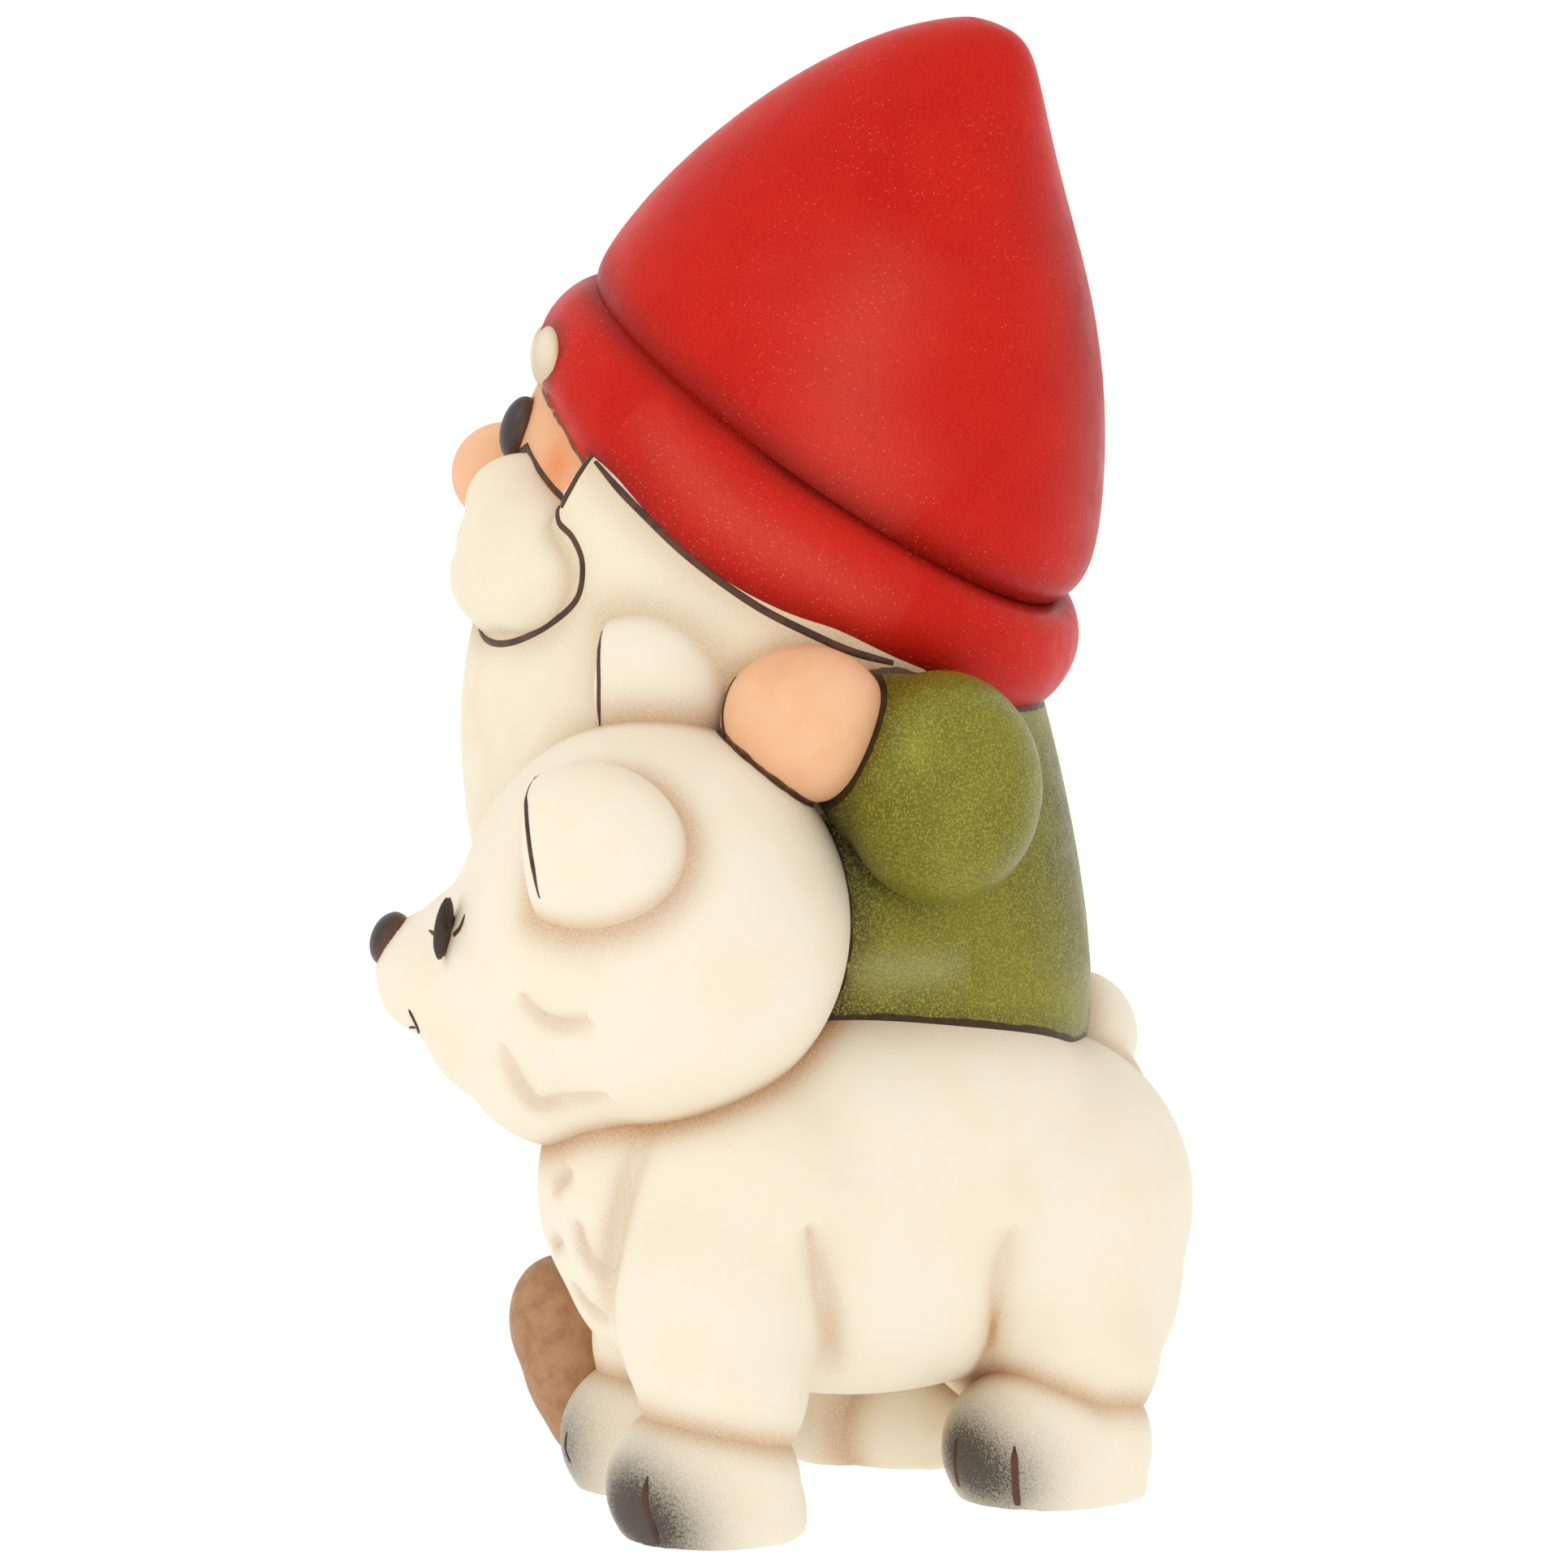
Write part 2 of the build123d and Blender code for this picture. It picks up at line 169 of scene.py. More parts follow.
class Clay:
    """Modelling moves that the pieces share."""

    VOXEL = 0.8

    @staticmethod
    def egg(lump: Egg, place: Frame | None = None) -> bpy.types.Object:
        """Presses one lump of clay.

        Args:
            lump: the ellipsoid.
            place: the frame that it is laid out in; the gnome's own if left out.

        Returns:
            The lump's object, not yet settled.
        """
        bpy.ops.object.select_all(action="DESELECT")
        bpy.ops.mesh.primitive_uv_sphere_add(segments=64, ring_count=32, radius=MM)
        ball = bpy.context.object
        turn = Euler([math.radians(angle) for angle in lump.turn]).to_matrix().to_4x4()
        local = Matrix.Translation(lump.centre) @ turn
        world = (place.matrix() if place else Matrix()) @ local
        ball.matrix_world = Matrix.Translation(at(world.translation)) @ world.to_3x3().to_4x4()
        ball.scale = lump.radii
        only(ball)
        bpy.ops.object.transform_apply(location=True, rotation=True, scale=True)
        return ball

    @staticmethod
    def press(lumps: Sequence[bpy.types.Object], name: str) -> bpy.types.Object:
        """Presses separate lumps into one object, still with the lumps' own skins.

        Args:
            lumps: the objects to join.
            name: the joined piece's name.

        Returns:
            The joined object.
        """
        bpy.ops.object.select_all(action="DESELECT")
        for lump in lumps:
            lump.select_set(True)
        bpy.context.view_layer.objects.active = lumps[0]
        if len(lumps) > 1:
            bpy.ops.object.join()
        return settle(lumps[0], name)

    @classmethod
    def fuse(cls, piece: bpy.types.Object, soften: int, voxel: float | None = None) -> bpy.types.Object:
        """Makes one skin over everything in a piece and smooths the joins with a wet sponge.

        Args:
            piece: the object of joined lumps.
            soften: how many passes of the sponge.
            voxel: size of the new skin's mesh, in millimetres.

        Returns:
            The same object.
        """
        size = (voxel or cls.VOXEL) * MM
        apply_modifier(piece, "REMESH", mode="VOXEL", voxel_size=size, adaptivity=0.0)
        if soften:
            apply_modifier(piece, "SMOOTH", factor=0.5, iterations=soften)
        only(piece)
        bpy.ops.object.shade_smooth()
        return piece

    @classmethod
    def model(
        cls,
        name: str,
        eggs: Sequence[Egg],
        place: Frame | None = None,
        soften: int = 12,
        voxel: float | None = None,
        cutters: Sequence[bpy.types.Object] = (),
        stands: bool = False,
    ) -> bpy.types.Object:
        """Presses eggs together, cuts them back, and gives them one smooth skin.

        Args:
            name: the piece's name.
            eggs: its lumps.
            place: the frame the lumps are laid out in.
            soften: passes of the sponge over the joins.
            voxel: size of the skin's mesh, in millimetres.
            cutters: objects that are cut away from the fused form and then thrown away.
            stands: whether the piece stands on the table, on a flat sole.

        Returns:
            The modelled piece.
        """
        piece = cls.press([cls.egg(lump, place) for lump in eggs], name)
        if cutters:
            size = (voxel or cls.VOXEL) * MM
            apply_modifier(piece, "REMESH", mode="VOXEL", voxel_size=size, adaptivity=0.0)
        for cutter in cutters:
            apply_modifier(piece, "BOOLEAN", operation="DIFFERENCE", object=cutter, solver="EXACT")
            bpy.data.objects.remove(cutter)
        cls.fuse(piece, soften, voxel)
        if stands:
            cls.slice_sole(piece)
            cls.fuse(piece, 3, voxel)
        return piece

    @staticmethod
    def slice_sole(piece: bpy.types.Object) -> None:
        """Cuts a piece off level with the table.

        Args:
            piece: the object to cut.
        """
        only(piece)
        bpy.ops.object.mode_set(mode="EDIT")
        bpy.ops.mesh.select_all(action="SELECT")
        bpy.ops.mesh.bisect(
            plane_co=(0.0, 0.0, 0.0), plane_no=(0.0, 0.0, 1.0), use_fill=True, clear_inner=True
        )
        bpy.ops.object.mode_set(mode="OBJECT")

    @staticmethod
    def bridged(loops: Sequence[bpy.types.Object], name: str) -> bpy.types.Object:
        """Skins over a row of rings and closes both ends.

        Args:
            loops: the rings' objects, in order.
            name: the piece's name.

        Returns:
            The closed form.
        """
        piece = Clay.press(loops, name)
        bpy.ops.object.mode_set(mode="EDIT")
        bpy.ops.mesh.select_all(action="SELECT")
        bpy.ops.mesh.bridge_edge_loops()
        bpy.ops.mesh.select_all(action="DESELECT")
        bpy.ops.mesh.select_non_manifold()
        bpy.ops.mesh.edge_face_add()
        bpy.ops.mesh.select_all(action="SELECT")
        bpy.ops.mesh.normals_make_consistent(inside=False)
        bpy.ops.object.mode_set(mode="OBJECT")
        return piece

    @staticmethod
    def turned(name: str, rings: Sequence[Ring], smooth_levels: int = 2) -> bpy.types.Object:
        """Builds a form up from oval rings, bridged one to the next and closed at both ends.

        Args:
            name: the piece's name.
            rings: its sections, from first to last.
            smooth_levels: level of the subdivision surface that rounds it.

        Returns:
            The closed form.
        """
        loops = []
        for ring in rings:
            bpy.ops.object.select_all(action="DESELECT")
            bpy.ops.mesh.primitive_circle_add(
                vertices=64,
                radius=MM,
                location=at(ring.centre),
                rotation=(-math.radians(ring.lean), 0.0, 0.0),
            )
            loop = bpy.context.object
            loop.scale = (ring.half_width, ring.half_depth, 1.0)
            loops.append(loop)
            only(loop)
            bpy.ops.object.transform_apply(location=True, rotation=True, scale=True)
        piece = Clay.bridged(loops, name)
        if smooth_levels:
            apply_modifier(piece, "SUBSURF", levels=smooth_levels, render_levels=smooth_levels)
        only(piece)
        bpy.ops.object.shade_smooth()
        return piece


# --------------------------------------------------------------------------------------------- tools


def flowing(path: Path, step: float = 0.5) -> np.ndarray:
    """Draws one smooth curve through a few places.

    Args:
        path: the places it goes through, in millimetres.
        step: about how far apart its points are.

    Returns:
        Its points, one to a row, in millimetres.
    """
    lead_in = Vector(path[0]) * 2 - Vector(path[1])
    run_out = Vector(path[-1]) * 2 - Vector(path[-2])
    knots = [lead_in, *map(Vector, path), run_out]
    points = []
    for before, start, end, after in zip(knots, knots[1:], knots[2:], knots[3:]):
        count = max(2, round((end - start).length / step))
        for t in np.arange(count) / count:
            bend = before * (-t + 2 * t**2 - t**3) + start * (2 - 5 * t**2 + 3 * t**3)
            bend += end * (t + 4 * t**2 - 3 * t**3) + after * (t**3 - t**2)
            points.append(bend / 2)
    points.append(knots[-2])
    return np.array(points)


def skin_points(piece: bpy.types.Object) -> np.ndarray:
    """A piece's own mesh points in the gnome's frame, in millimetres, one to a row."""
    points = np.empty(3 * len(piece.data.vertices))
    piece.data.vertices.foreach_get("co", points)
    return (points.reshape(-1, 3) - np.array(AXIS)) / MM


def nearness(points: np.ndarray, path: Path, width: float, tapered: bool = True) -> np.ndarray:
    """How near points are to a curve: 1 on it, fading away over its width.

    Args:
        points: the points, in millimetres, one to a row.
        path: the places that the curve goes through; a single place makes a round spot.
        width: distance at which it has faded to about a third.
        tapered: whether it also fades towards both ends.

    Returns:
        The nearness of each point.
    """
    curve = flowing(path) if len(path) > 1 else np.array(path, dtype=float)
    best = np.full(len(points), np.inf)
    where = np.zeros(len(points))
    for index, place in enumerate(curve):
        distance = ((points - place) ** 2).sum(axis=1)
        closer = distance < best
        best[closer] = distance[closer]
        where[closer] = index / max(1, len(curve) - 1)
    near = np.exp(-best / width**2)
    return near * (4 * where * (1 - where)) ** 0.5 if tapered and len(path) > 1 else near


FAINTEST = 0.02  # a tool's weight below this leaves no mark


def draw_creases(piece: bpy.types.Object, creases: Sequence[Crease]) -> None:
    """Draws a tool along the soft clay, leaving creases.

    Args:
        piece: the object that is drawn on.
        creases: the lines to draw.
    """
    points = skin_points(piece)
    for crease in creases:
        weights = nearness(points, crease.path, crease.width)
        group = piece.vertex_groups.new(name="crease")
        for index in np.nonzero(weights > FAINTEST)[0]:
            group.add([int(index)], float(weights[index]), "REPLACE")
        apply_modifier(
            piece,
            "DISPLACE",
            strength=-crease.depth * MM,
            mid_level=0.0,
            direction="NORMAL",
            vertex_group="crease",
        )
        piece.vertex_groups.remove(piece.vertex_groups["crease"])


@dataclass(frozen=True)
class Stroke:
    """One stroke of a liner brush laid over a piece."""

    path: Path
    width: float
    start: float = 0.35
    end: float = 0.35


STROKE_PROUD = 0.16  # how far a stroke stands proud of the surface, in millimetres


def nearest_foot(trees: Sequence[BVHTree], place: np.ndarray) -> tuple[Vector, Vector, int, float]:
    """The place on some surfaces that is nearest to a point in the gnome's frame.

    Args:
        trees: the surfaces.
        place: the point, in millimetres.

    Returns:
        The nearest surface's hit: the place, its normal, the face and the distance.
    """
    return min((tree.find_nearest(at(tuple(place))) for tree in trees), key=lambda hit: hit[3])


def lay_strokes(name: str, strokes: Sequence[Stroke], on: Sequence[bpy.types.Object]) -> bpy.types.Object:
    """Paints strokes that stand a hair proud of the surface.

    Args:
        name: the name of the object of strokes.
        strokes: the strokes.
        on: the pieces that they are painted over.

    Returns:
        The strokes' object.
    """
    trees = [surface_of(piece) for piece in on]
    lines = []
    for stroke in strokes:
        curve = flowing(stroke.path, step=0.7)
        feet = [nearest_foot(trees, place) for place in curve]
        rings = []
        for index, (foot, normal, _, _) in enumerate(feet):
            ahead = feet[min(index + 1, len(feet) - 1)][0] - feet[max(index - 1, 0)][0]
            across = normal.cross(ahead).normalized()
            along = across.cross(normal).normalized()
            t = index / (len(feet) - 1)
            fullness = min(1.0, stroke.start + 4 * t, stroke.end + 4 * (1 - t))
            bpy.ops.object.select_all(action="DESELECT")
            bpy.ops.mesh.primitive_circle_add(vertices=12, radius=MM)
            ring = bpy.context.object
            turn = Matrix((across, normal, along)).transposed().to_4x4()
            ring.matrix_world = Matrix.Translation(foot) @ turn
            ring.scale = (stroke.width / 2 * fullness, STROKE_PROUD, 1.0)
            only(ring)
            bpy.ops.object.transform_apply(location=True, rotation=True, scale=True)
            rings.append(ring)
        lines.append(Clay.bridged(rings, name))
    return Clay.press(lines, name)


def surface_of(piece: bpy.types.Object) -> BVHTree:
    """A piece's surface, for finding the nearest place on it."""
    return BVHTree.FromPolygons(
        [vertex.co.copy() for vertex in piece.data.vertices],
        [tuple(face.vertices) for face in piece.data.polygons],
    )


# --------------------------------------------------------------------------------------------- paint


class Layer(Enum):
    """What a painted layer does; each is one attribute of the mesh."""

    # airbrushed tan and painted shade in the joins and creases, and painted shade down the far sides of the
    # hat and the coat
    SHADE = "shade"
    # blush and soot, and the painted highlights and sheen of the hat and the coat
    SPOT = "spot_and_highlight"
    INK = "ink"


@dataclass(frozen=True)
class Join:
    """What is painted where a piece meets its neighbours: an outline, and a soft band of airbrush and painted
    shade (a painted sheen on the spot layer).
    """

    near: tuple[str, ...]
    ink: float = 0.0
    soft: float = 0.0
    strength: float = 0.0
    layer: Layer = Layer.SHADE


@dataclass(frozen=True)
class Spray:
    """A pass of the airbrush along a curve, or one puff of it; some passes lay painted shade and painted
    highlights.
    """

    path: Path
    width: float
    strength: float
    layer: Layer = Layer.SHADE


class Painter:
    """Lays the airbrushed and brushed layers on the pieces, with painted shade and painted highlights among
    them.
    """

    def __init__(self, pieces: dict[str, bpy.types.Object]) -> None:
        """Looks at all the pieces.

        Args:
            pieces: every piece, by the name of the casting that it stands for.
        """
        self.pieces = pieces
        self.surfaces = {node: surface_of(piece) for node, piece in pieces.items()}

    def distance(self, node: str, neighbours: Sequence[str], reach: float) -> np.ndarray:
        """How far each point of a piece is from the nearest of its neighbours, in millimetres."""
        trees = [self.surfaces[name] for name in neighbours]
        found = np.full(len(self.pieces[node].data.vertices), reach)
        for index, vertex in enumerate(self.pieces[node].data.vertices):
            for tree in trees:
                hit = tree.find_nearest(vertex.co, reach * MM)
                if hit[3] is not None:
                    found[index] = min(found[index], hit[3] / MM)
        return found

    def paint(self, node: str, joins: Sequence[Join] = (), sprays: Sequence[Spray] = ()) -> None:
        """Paints one piece.

        Args:
            node: the piece's casting.
            joins: what is painted along its joins.
            sprays: passes of the airbrush.
        """
        piece = self.pieces[node]
        points = skin_points(piece)
        layers = {layer: np.zeros(len(points)) for layer in Layer}
        layers[Layer.INK] -= 5.0
        for join in joins:
            distance = self.distance(node, join.near, max(join.ink + 1.0, 2.5 * join.soft))
            if join.ink:
                layers[Layer.INK] = np.maximum(layers[Layer.INK], join.ink - distance)
            if join.soft:
                layers[join.layer] += join.strength * np.exp(-((distance / join.soft) ** 2))
        for spray in sprays:
            layers[spray.layer] += spray.strength * nearness(points, spray.path, spray.width)
        for layer, amounts in layers.items():
            attribute = piece.data.attributes.new(layer.value, "FLOAT", "POINT")
            attribute.data.foreach_set("value", amounts.astype(np.float32))


def linear(colour: str) -> tuple[float, float, float, float]:
    """An sRGB colour, written in hex, as the linear values that Blender works in."""
    parts = [int(colour[index : index + 2], 16) / 255 for index in (1, 3, 5)]
    values = [part / 12.92 if part <= 0.04045 else ((part + 0.055) / 1.055) ** 2.4 for part in parts]
    return (*values, 1.0)


class Recipe:
    """A material being mixed, with one call for each node."""

    def __init__(self, name: str) -> None:
        """Starts an empty material.

        Args:
            name: the finish's name.
        """
        self.material = bpy.data.materials.new(name)
        self.material.use_nodes = True
        self.tree = self.material.node_tree
        self.tree.nodes.clear()

    def add(
        self, kind: str, inputs: dict[str | int, object] | None = None, **settings: object
    ) -> bpy.types.Node:
        """Adds a node, sets it and links it.

        Args:
            kind: the node's type.
            inputs: what goes into each input, a constant or another node's output.
            settings: the node's own settings.

        Returns:
            The node.
        """
        node = self.tree.nodes.new(kind)
        for name, value in settings.items():
            setattr(node, name, value)
        for name, value in (inputs or {}).items():
            if isinstance(value, bpy.types.NodeSocket):
                self.tree.links.new(value, node.inputs[name])
            else:
                node.inputs[name].default_value = value
        return node

    def sums(
        self, operation: str, first: object, second: object, clamp: bool = False
    ) -> bpy.types.NodeSocket:
        """One step of arithmetic on two values."""
        node = self.add("ShaderNodeMath", {0: first, 1: second}, operation=operation, use_clamp=clamp)
        return node.outputs[0]

    def mix(self, amount: object, under: object, over: object) -> bpy.types.NodeSocket:
        """Lays one colour over another."""
        node = self.add("ShaderNodeMix", {0: amount, 6: under, 7: over}, data_type="RGBA")
        return node.outputs[2]

    def noise(self, millimetres: float, detail: float, place: bpy.types.NodeSocket) -> bpy.types.NodeSocket:
        """Soft noise whose blotches are about that many millimetres across."""
        settings = {"Vector": place, "Scale": 1 / (millimetres * MM), "Detail": detail, "Roughness": 0.6}
        return self.add("ShaderNodeTexNoise", settings).outputs[0]

    def between(
        self, value: object, low: float, high: float, out_low: float = 0.0, out_high: float = 1.0
    ) -> bpy.types.NodeSocket:
        """Stretches the part of a value between two limits, and clamps it."""
        inputs = {0: value, 1: low, 2: high, 3: out_low, 4: out_high}
        return self.add("ShaderNodeMapRange", inputs, clamp=True, interpolation_type="SMOOTHSTEP").outputs[0]


@dataclass(frozen=True)
class Finish:
    """A painted finish: a body colour, an airbrushed shade colour that is also painted shade, a spot colour
    (blush on the skin, soot on the fox, a painted highlight and sheen on the hat and the coat) and a brushed
    line over it.
    """

    name: str
    slot: str
    body: str
    cloud: str
    shade: str
    spot_and_highlight: str
    ink: str = "#4A2F1E"
    roughness: float = 0.5
    gloss: float = 0.0
    mica: float = 0.0
    mica_colour: str = "#F0C060"
    fleck: float = 0.0
    peel: float = 0.03
    grain: float = 0.22
    drift: float = 14.0
    shine: float = 0.4
    metal: float = 0.0

    def mixed(self) -> bpy.types.Material:
        """Mixes the finish.

        Returns:
            Its material.
        """
        recipe = Recipe(self.name)
        place = recipe.add("ShaderNodeTexCoord").outputs["Object"]
        layers = {
            layer: recipe.add("ShaderNodeAttribute", attribute_name=layer.value).outputs["Fac"]
            for layer in Layer
        }
        clouds = recipe.between(recipe.noise(self.drift, 4.0, place), 0.35, 0.7)
        colour = recipe.mix(clouds, linear(self.body), linear(self.cloud))
        # the airbrush spatters: its edge breaks up into fine grains
        grains = recipe.noise(0.28, 2.0, place)
        # the shade layer is airbrushed tan and painted shade; the spot layer is blush, soot, and painted
        # highlights and sheen
        for layer, paint in ((Layer.SHADE, self.shade), (Layer.SPOT, self.spot_and_highlight)):
            spatter = recipe.between(grains, 0.3, 0.72, 1.0 - self.grain, 1.0 + self.grain)
            amount = recipe.sums("MULTIPLY", layers[layer], spatter, clamp=True)
            colour = recipe.mix(amount, colour, linear(paint))
        worn = recipe.noise(5.0, 3.0, place)
        rough = recipe.between(worn, 0.3, 0.7, self.roughness - 0.05, self.roughness + 0.06)
        if self.mica:
            flecks = recipe.between(recipe.noise(0.3, 1.0, place), 0.42, 0.72, 0.0, self.fleck)
            colour = recipe.mix(flecks, colour, linear(self.mica_colour))
            cells = recipe.add("ShaderNodeTexVoronoi", {"Vector": place, "Scale": 1 / (0.3 * MM)})
            tone = recipe.add("ShaderNodeSeparateColor", {0: cells.outputs["Color"]})
            crowd = recipe.between(recipe.noise(22.0, 1.0, place), 0.3, 0.7, -0.1, 0.06)
            # more mica glints where the spot layer lays a painted highlight
            crowd_and_highlight = recipe.sums("ADD", crowd, recipe.sums("MULTIPLY", layers[Layer.SPOT], 0.3))
            chosen = recipe.sums("ADD", tone.outputs[0], crowd_and_highlight)
            sparse = recipe.between(chosen, 1.0 - self.mica, 1.06 - self.mica)
            speck = recipe.between(cells.outputs["Distance"], 0.15, 0.42, 0.75, 0.0)
            glint = recipe.sums("MULTIPLY", sparse, speck)
            colour = recipe.mix(glint, colour, linear(self.mica_colour))
            rough = recipe.sums("SUBTRACT", rough, recipe.sums("MULTIPLY", glint, 0.12))
        # the liner brush wavers
        waver = recipe.between(recipe.noise(3.0, 1.0, place), 0.3, 0.7, -0.12, 0.12)
        inked = recipe.between(recipe.sums("ADD", layers[Layer.INK], waver), -0.07, 0.07)
        thin = recipe.between(recipe.noise(1.2, 3.0, place), 0.3, 0.75, 0.88, 1.0)
        colour = recipe.mix(recipe.sums("MULTIPLY", inked, thin), colour, linear(self.ink))
        lumps = recipe.sums("ADD", recipe.noise(3.5, 4.0, place), recipe.sums("MULTIPLY", grains, 0.25))
        bump = recipe.add("ShaderNodeBump", {"Height": lumps, "Strength": self.peel, "Distance": 0.002})
        inputs = {
            "Base Color": colour,
            "Roughness": rough,
            "Normal": bump.outputs[0],
            "Coat Weight": self.gloss,
            "Coat Roughness": 0.12,
            "Specular IOR Level": self.shine,
            "Metallic": self.metal,
        }
        shader = recipe.add("ShaderNodeBsdfPrincipled", inputs)
        recipe.add("ShaderNodeOutputMaterial", {"Surface": shader.outputs[0]})
        return recipe.material


class Finishes(Enum):
    """The finishes of the figurine."""

    # satin pearly red: broad soft highlights, partly a painted highlight in lighter red, painted dark wine
    # shade in the folds and down the far side, and fine gold glints
    HAT = Finish(
        "satin_red_glaze", "hat_red", "#C41C0E", "#BC160C", "#5E0E0A", "#D2584A", ink="#4A2416",
        roughness=0.36, mica=0.08, mica_colour="#E2805A", fleck=0.05, peel=0.05, grain=0.2, shine=0.08,
    )
    # metallic moss green: olive, brown lines and painted shade in the joins and down the far side, a painted
    # grey-green sheen, crowded with gold glints
    COAT = Finish(
        "metallic_moss_green", "coat_green", "#76741C", "#64620F", "#38290C", "#8E8C5A", ink="#33200F",
        roughness=0.38, mica=0.2, mica_colour="#B8AE4A", fleck=0.45, peel=0.12, shine=0.3, metal=0.3,
    )
    # matt skin: warm and even, with an orange blush
    SKIN = Finish(
        "matt_skin_engobe", "skin", "#EDBA90", "#E6AC7E", "#BC7E4C", "#E07A3C", ink="#5E3A24",
        roughness=0.55,
    )
    # matt cream hair: warm white, tan airbrush and painted shade in the joins
    BEARD = Finish(
        "matt_cream_hair", "beard_cream", "#EADFC7", "#E8DABD", "#B48C58", "#D9CDB2", ink="#5E3E2A",
        roughness=0.58,
    )
    # matt cream coat of the fox: warm white, tan airbrush and painted shade in the creases and joins, soot on
    # the toes
    FOX = Finish(
        "matt_cream_fur", "fox_cream", "#ECE2CC", "#EADEC4", "#BC8A58", "#4A4036", ink="#5E3E2A",
        roughness=0.55,
    )
    # matt brown leather colour: mottled
    BOOT = Finish(
        "matt_brown_leather", "boot_brown", "#AE8259", "#9C6F48", "#6B4326", "#8A5C38", ink="#4A2F1E",
        roughness=0.55, peel=0.1, drift=2.4,
    )
    # black glaze over brown: dark, with a weak soft highlight
    EYE = Finish(
        "black_glaze", "eye_black", "#30261C", "#3C2E22", "#6A3A26", "#2C2825", ink="#5E3424",
        roughness=0.45, gloss=0.2,
    )
    # brown liner paint: dark, thin where the brush runs dry
    LINE = Finish(
        "brown_liner_paint", "fox_cream", "#5A331C", "#4A2A16", "#3A2416", "#5A3C28", ink="#3A2416",
        roughness=0.5,
    )


# --------------------------------------------------------------------------------------------- gnome


@dataclass
class Hat:
    """The tall hat, leaning back, with its rolled brim and the forelock below it."""

    lean: float = 36.5
    crown_rings: tuple[Ring, ...] = (
        Ring((0, 2.8, 132.6), 31.5, 34.6, 34.2),
        Ring((0, 3.8, 134.2), 32.6, 35.8, 34.2),
        Ring((0, 4.9, 135.9), 33.8, 37.2, 33.8),
        Ring((0, 6.6, 138.6), 34.6, 37.7, 33.0),
        Ring((0, 8.6, 145.0), 34.4, 35.8, 29.4),
        Ring((0, 11.2, 155.7), 31.6, 31.4, 24.0),
        Ring((0, 13.6, 165.6), 26.6, 25.6, 21.5),
        Ring((0, 16.7, 174.2), 20.0, 19.2, 22.4),
        Ring((0, 20.4, 181.0), 13.6, 13.2, 23.4),
        Ring((0, 23.2, 184.8), 9.2, 9.0, 23.4),
        Ring((0, 25.2, 187.2), 5.8, 5.6, 21.0),
        Ring((0, 25.8, 188.5), 2.6, 2.5, 21.0),
    )
    brim_centre: Triple = (0.0, 1.2, 127.8)
    brim_reach: tuple[float, float] = (31.6, 35.2)
    brim_roll: tuple[float, float] = (6.0, 8.2)
    swell_lean: float = 39.0
    swell_centre: Triple = (0.0, -0.8, 126.6)
    swell_reach: tuple[float, float] = (31.1, 30.6)
    swell_roll: tuple[float, float] = (6.5, 8.5)
    forelock: tuple[Egg, ...] = (
        Egg((14.8, -29.2, 145.4), (8.2, 2.0, 4.4), (0, 0, 22)),
        Egg((-14.8, -29.2, 145.4), (8.2, 2.0, 4.4), (0, 0, -22)),
        Egg((7.0, -32.2, 145.4), (9.0, 1.9, 4.1), (0, 0, 12)),
        Egg((-7.0, -32.2, 145.4), (9.0, 1.9, 4.1), (0, 0, -12)),
    )

    def build(self) -> dict[str, bpy.types.Object]:
        """Models the hat.

        Returns:
            Its pieces by the name of the casting each stands for.
        """
        crown = Clay.turned("hat_crown_skin", self.crown_rings)
        rings = [
            self.ring(self.lean, self.brim_centre, self.brim_reach, self.brim_roll),
            self.ring(self.swell_lean, self.swell_centre, self.swell_reach, self.swell_roll),
        ]
        brim = Clay.fuse(Clay.press(rings, "hat_brim_skin"), soften=24, voxel=0.6)
        forelock = Clay.model("forelock_skin", self.forelock, soften=6, voxel=0.4)
        return {"hat_crown": crown, "hat_brim": brim, "gnome_forelock": forelock}

    def ring(
        self, lean: float, centre: Triple, reach: tuple[float, float], roll: tuple[float, float]
    ) -> bpy.types.Object:
        """Rolls a leaning ring.

        Args:
            lean: how far it leans back, in degrees.
            centre: the centre of the ring.
            reach: how far the middle of the roll is from the centre, sideways and forwards.
            roll: half the thickness and half the height of the roll.

        Returns:
            The ring.
        """
        (width, depth), (thick, tall) = reach, roll
        bpy.ops.object.select_all(action="DESELECT")
        bpy.ops.mesh.primitive_torus_add(
            major_segments=192, minor_segments=40, major_radius=depth * MM, minor_radius=thick * MM
        )
        ring = bpy.context.object
        ring.scale = (width / depth, 1.0, tall / thick)
        ring.rotation_euler = (-math.radians(lean), 0.0, 0.0)
        ring.location = at(centre)
        return settle(ring, "hat_brim_ring")


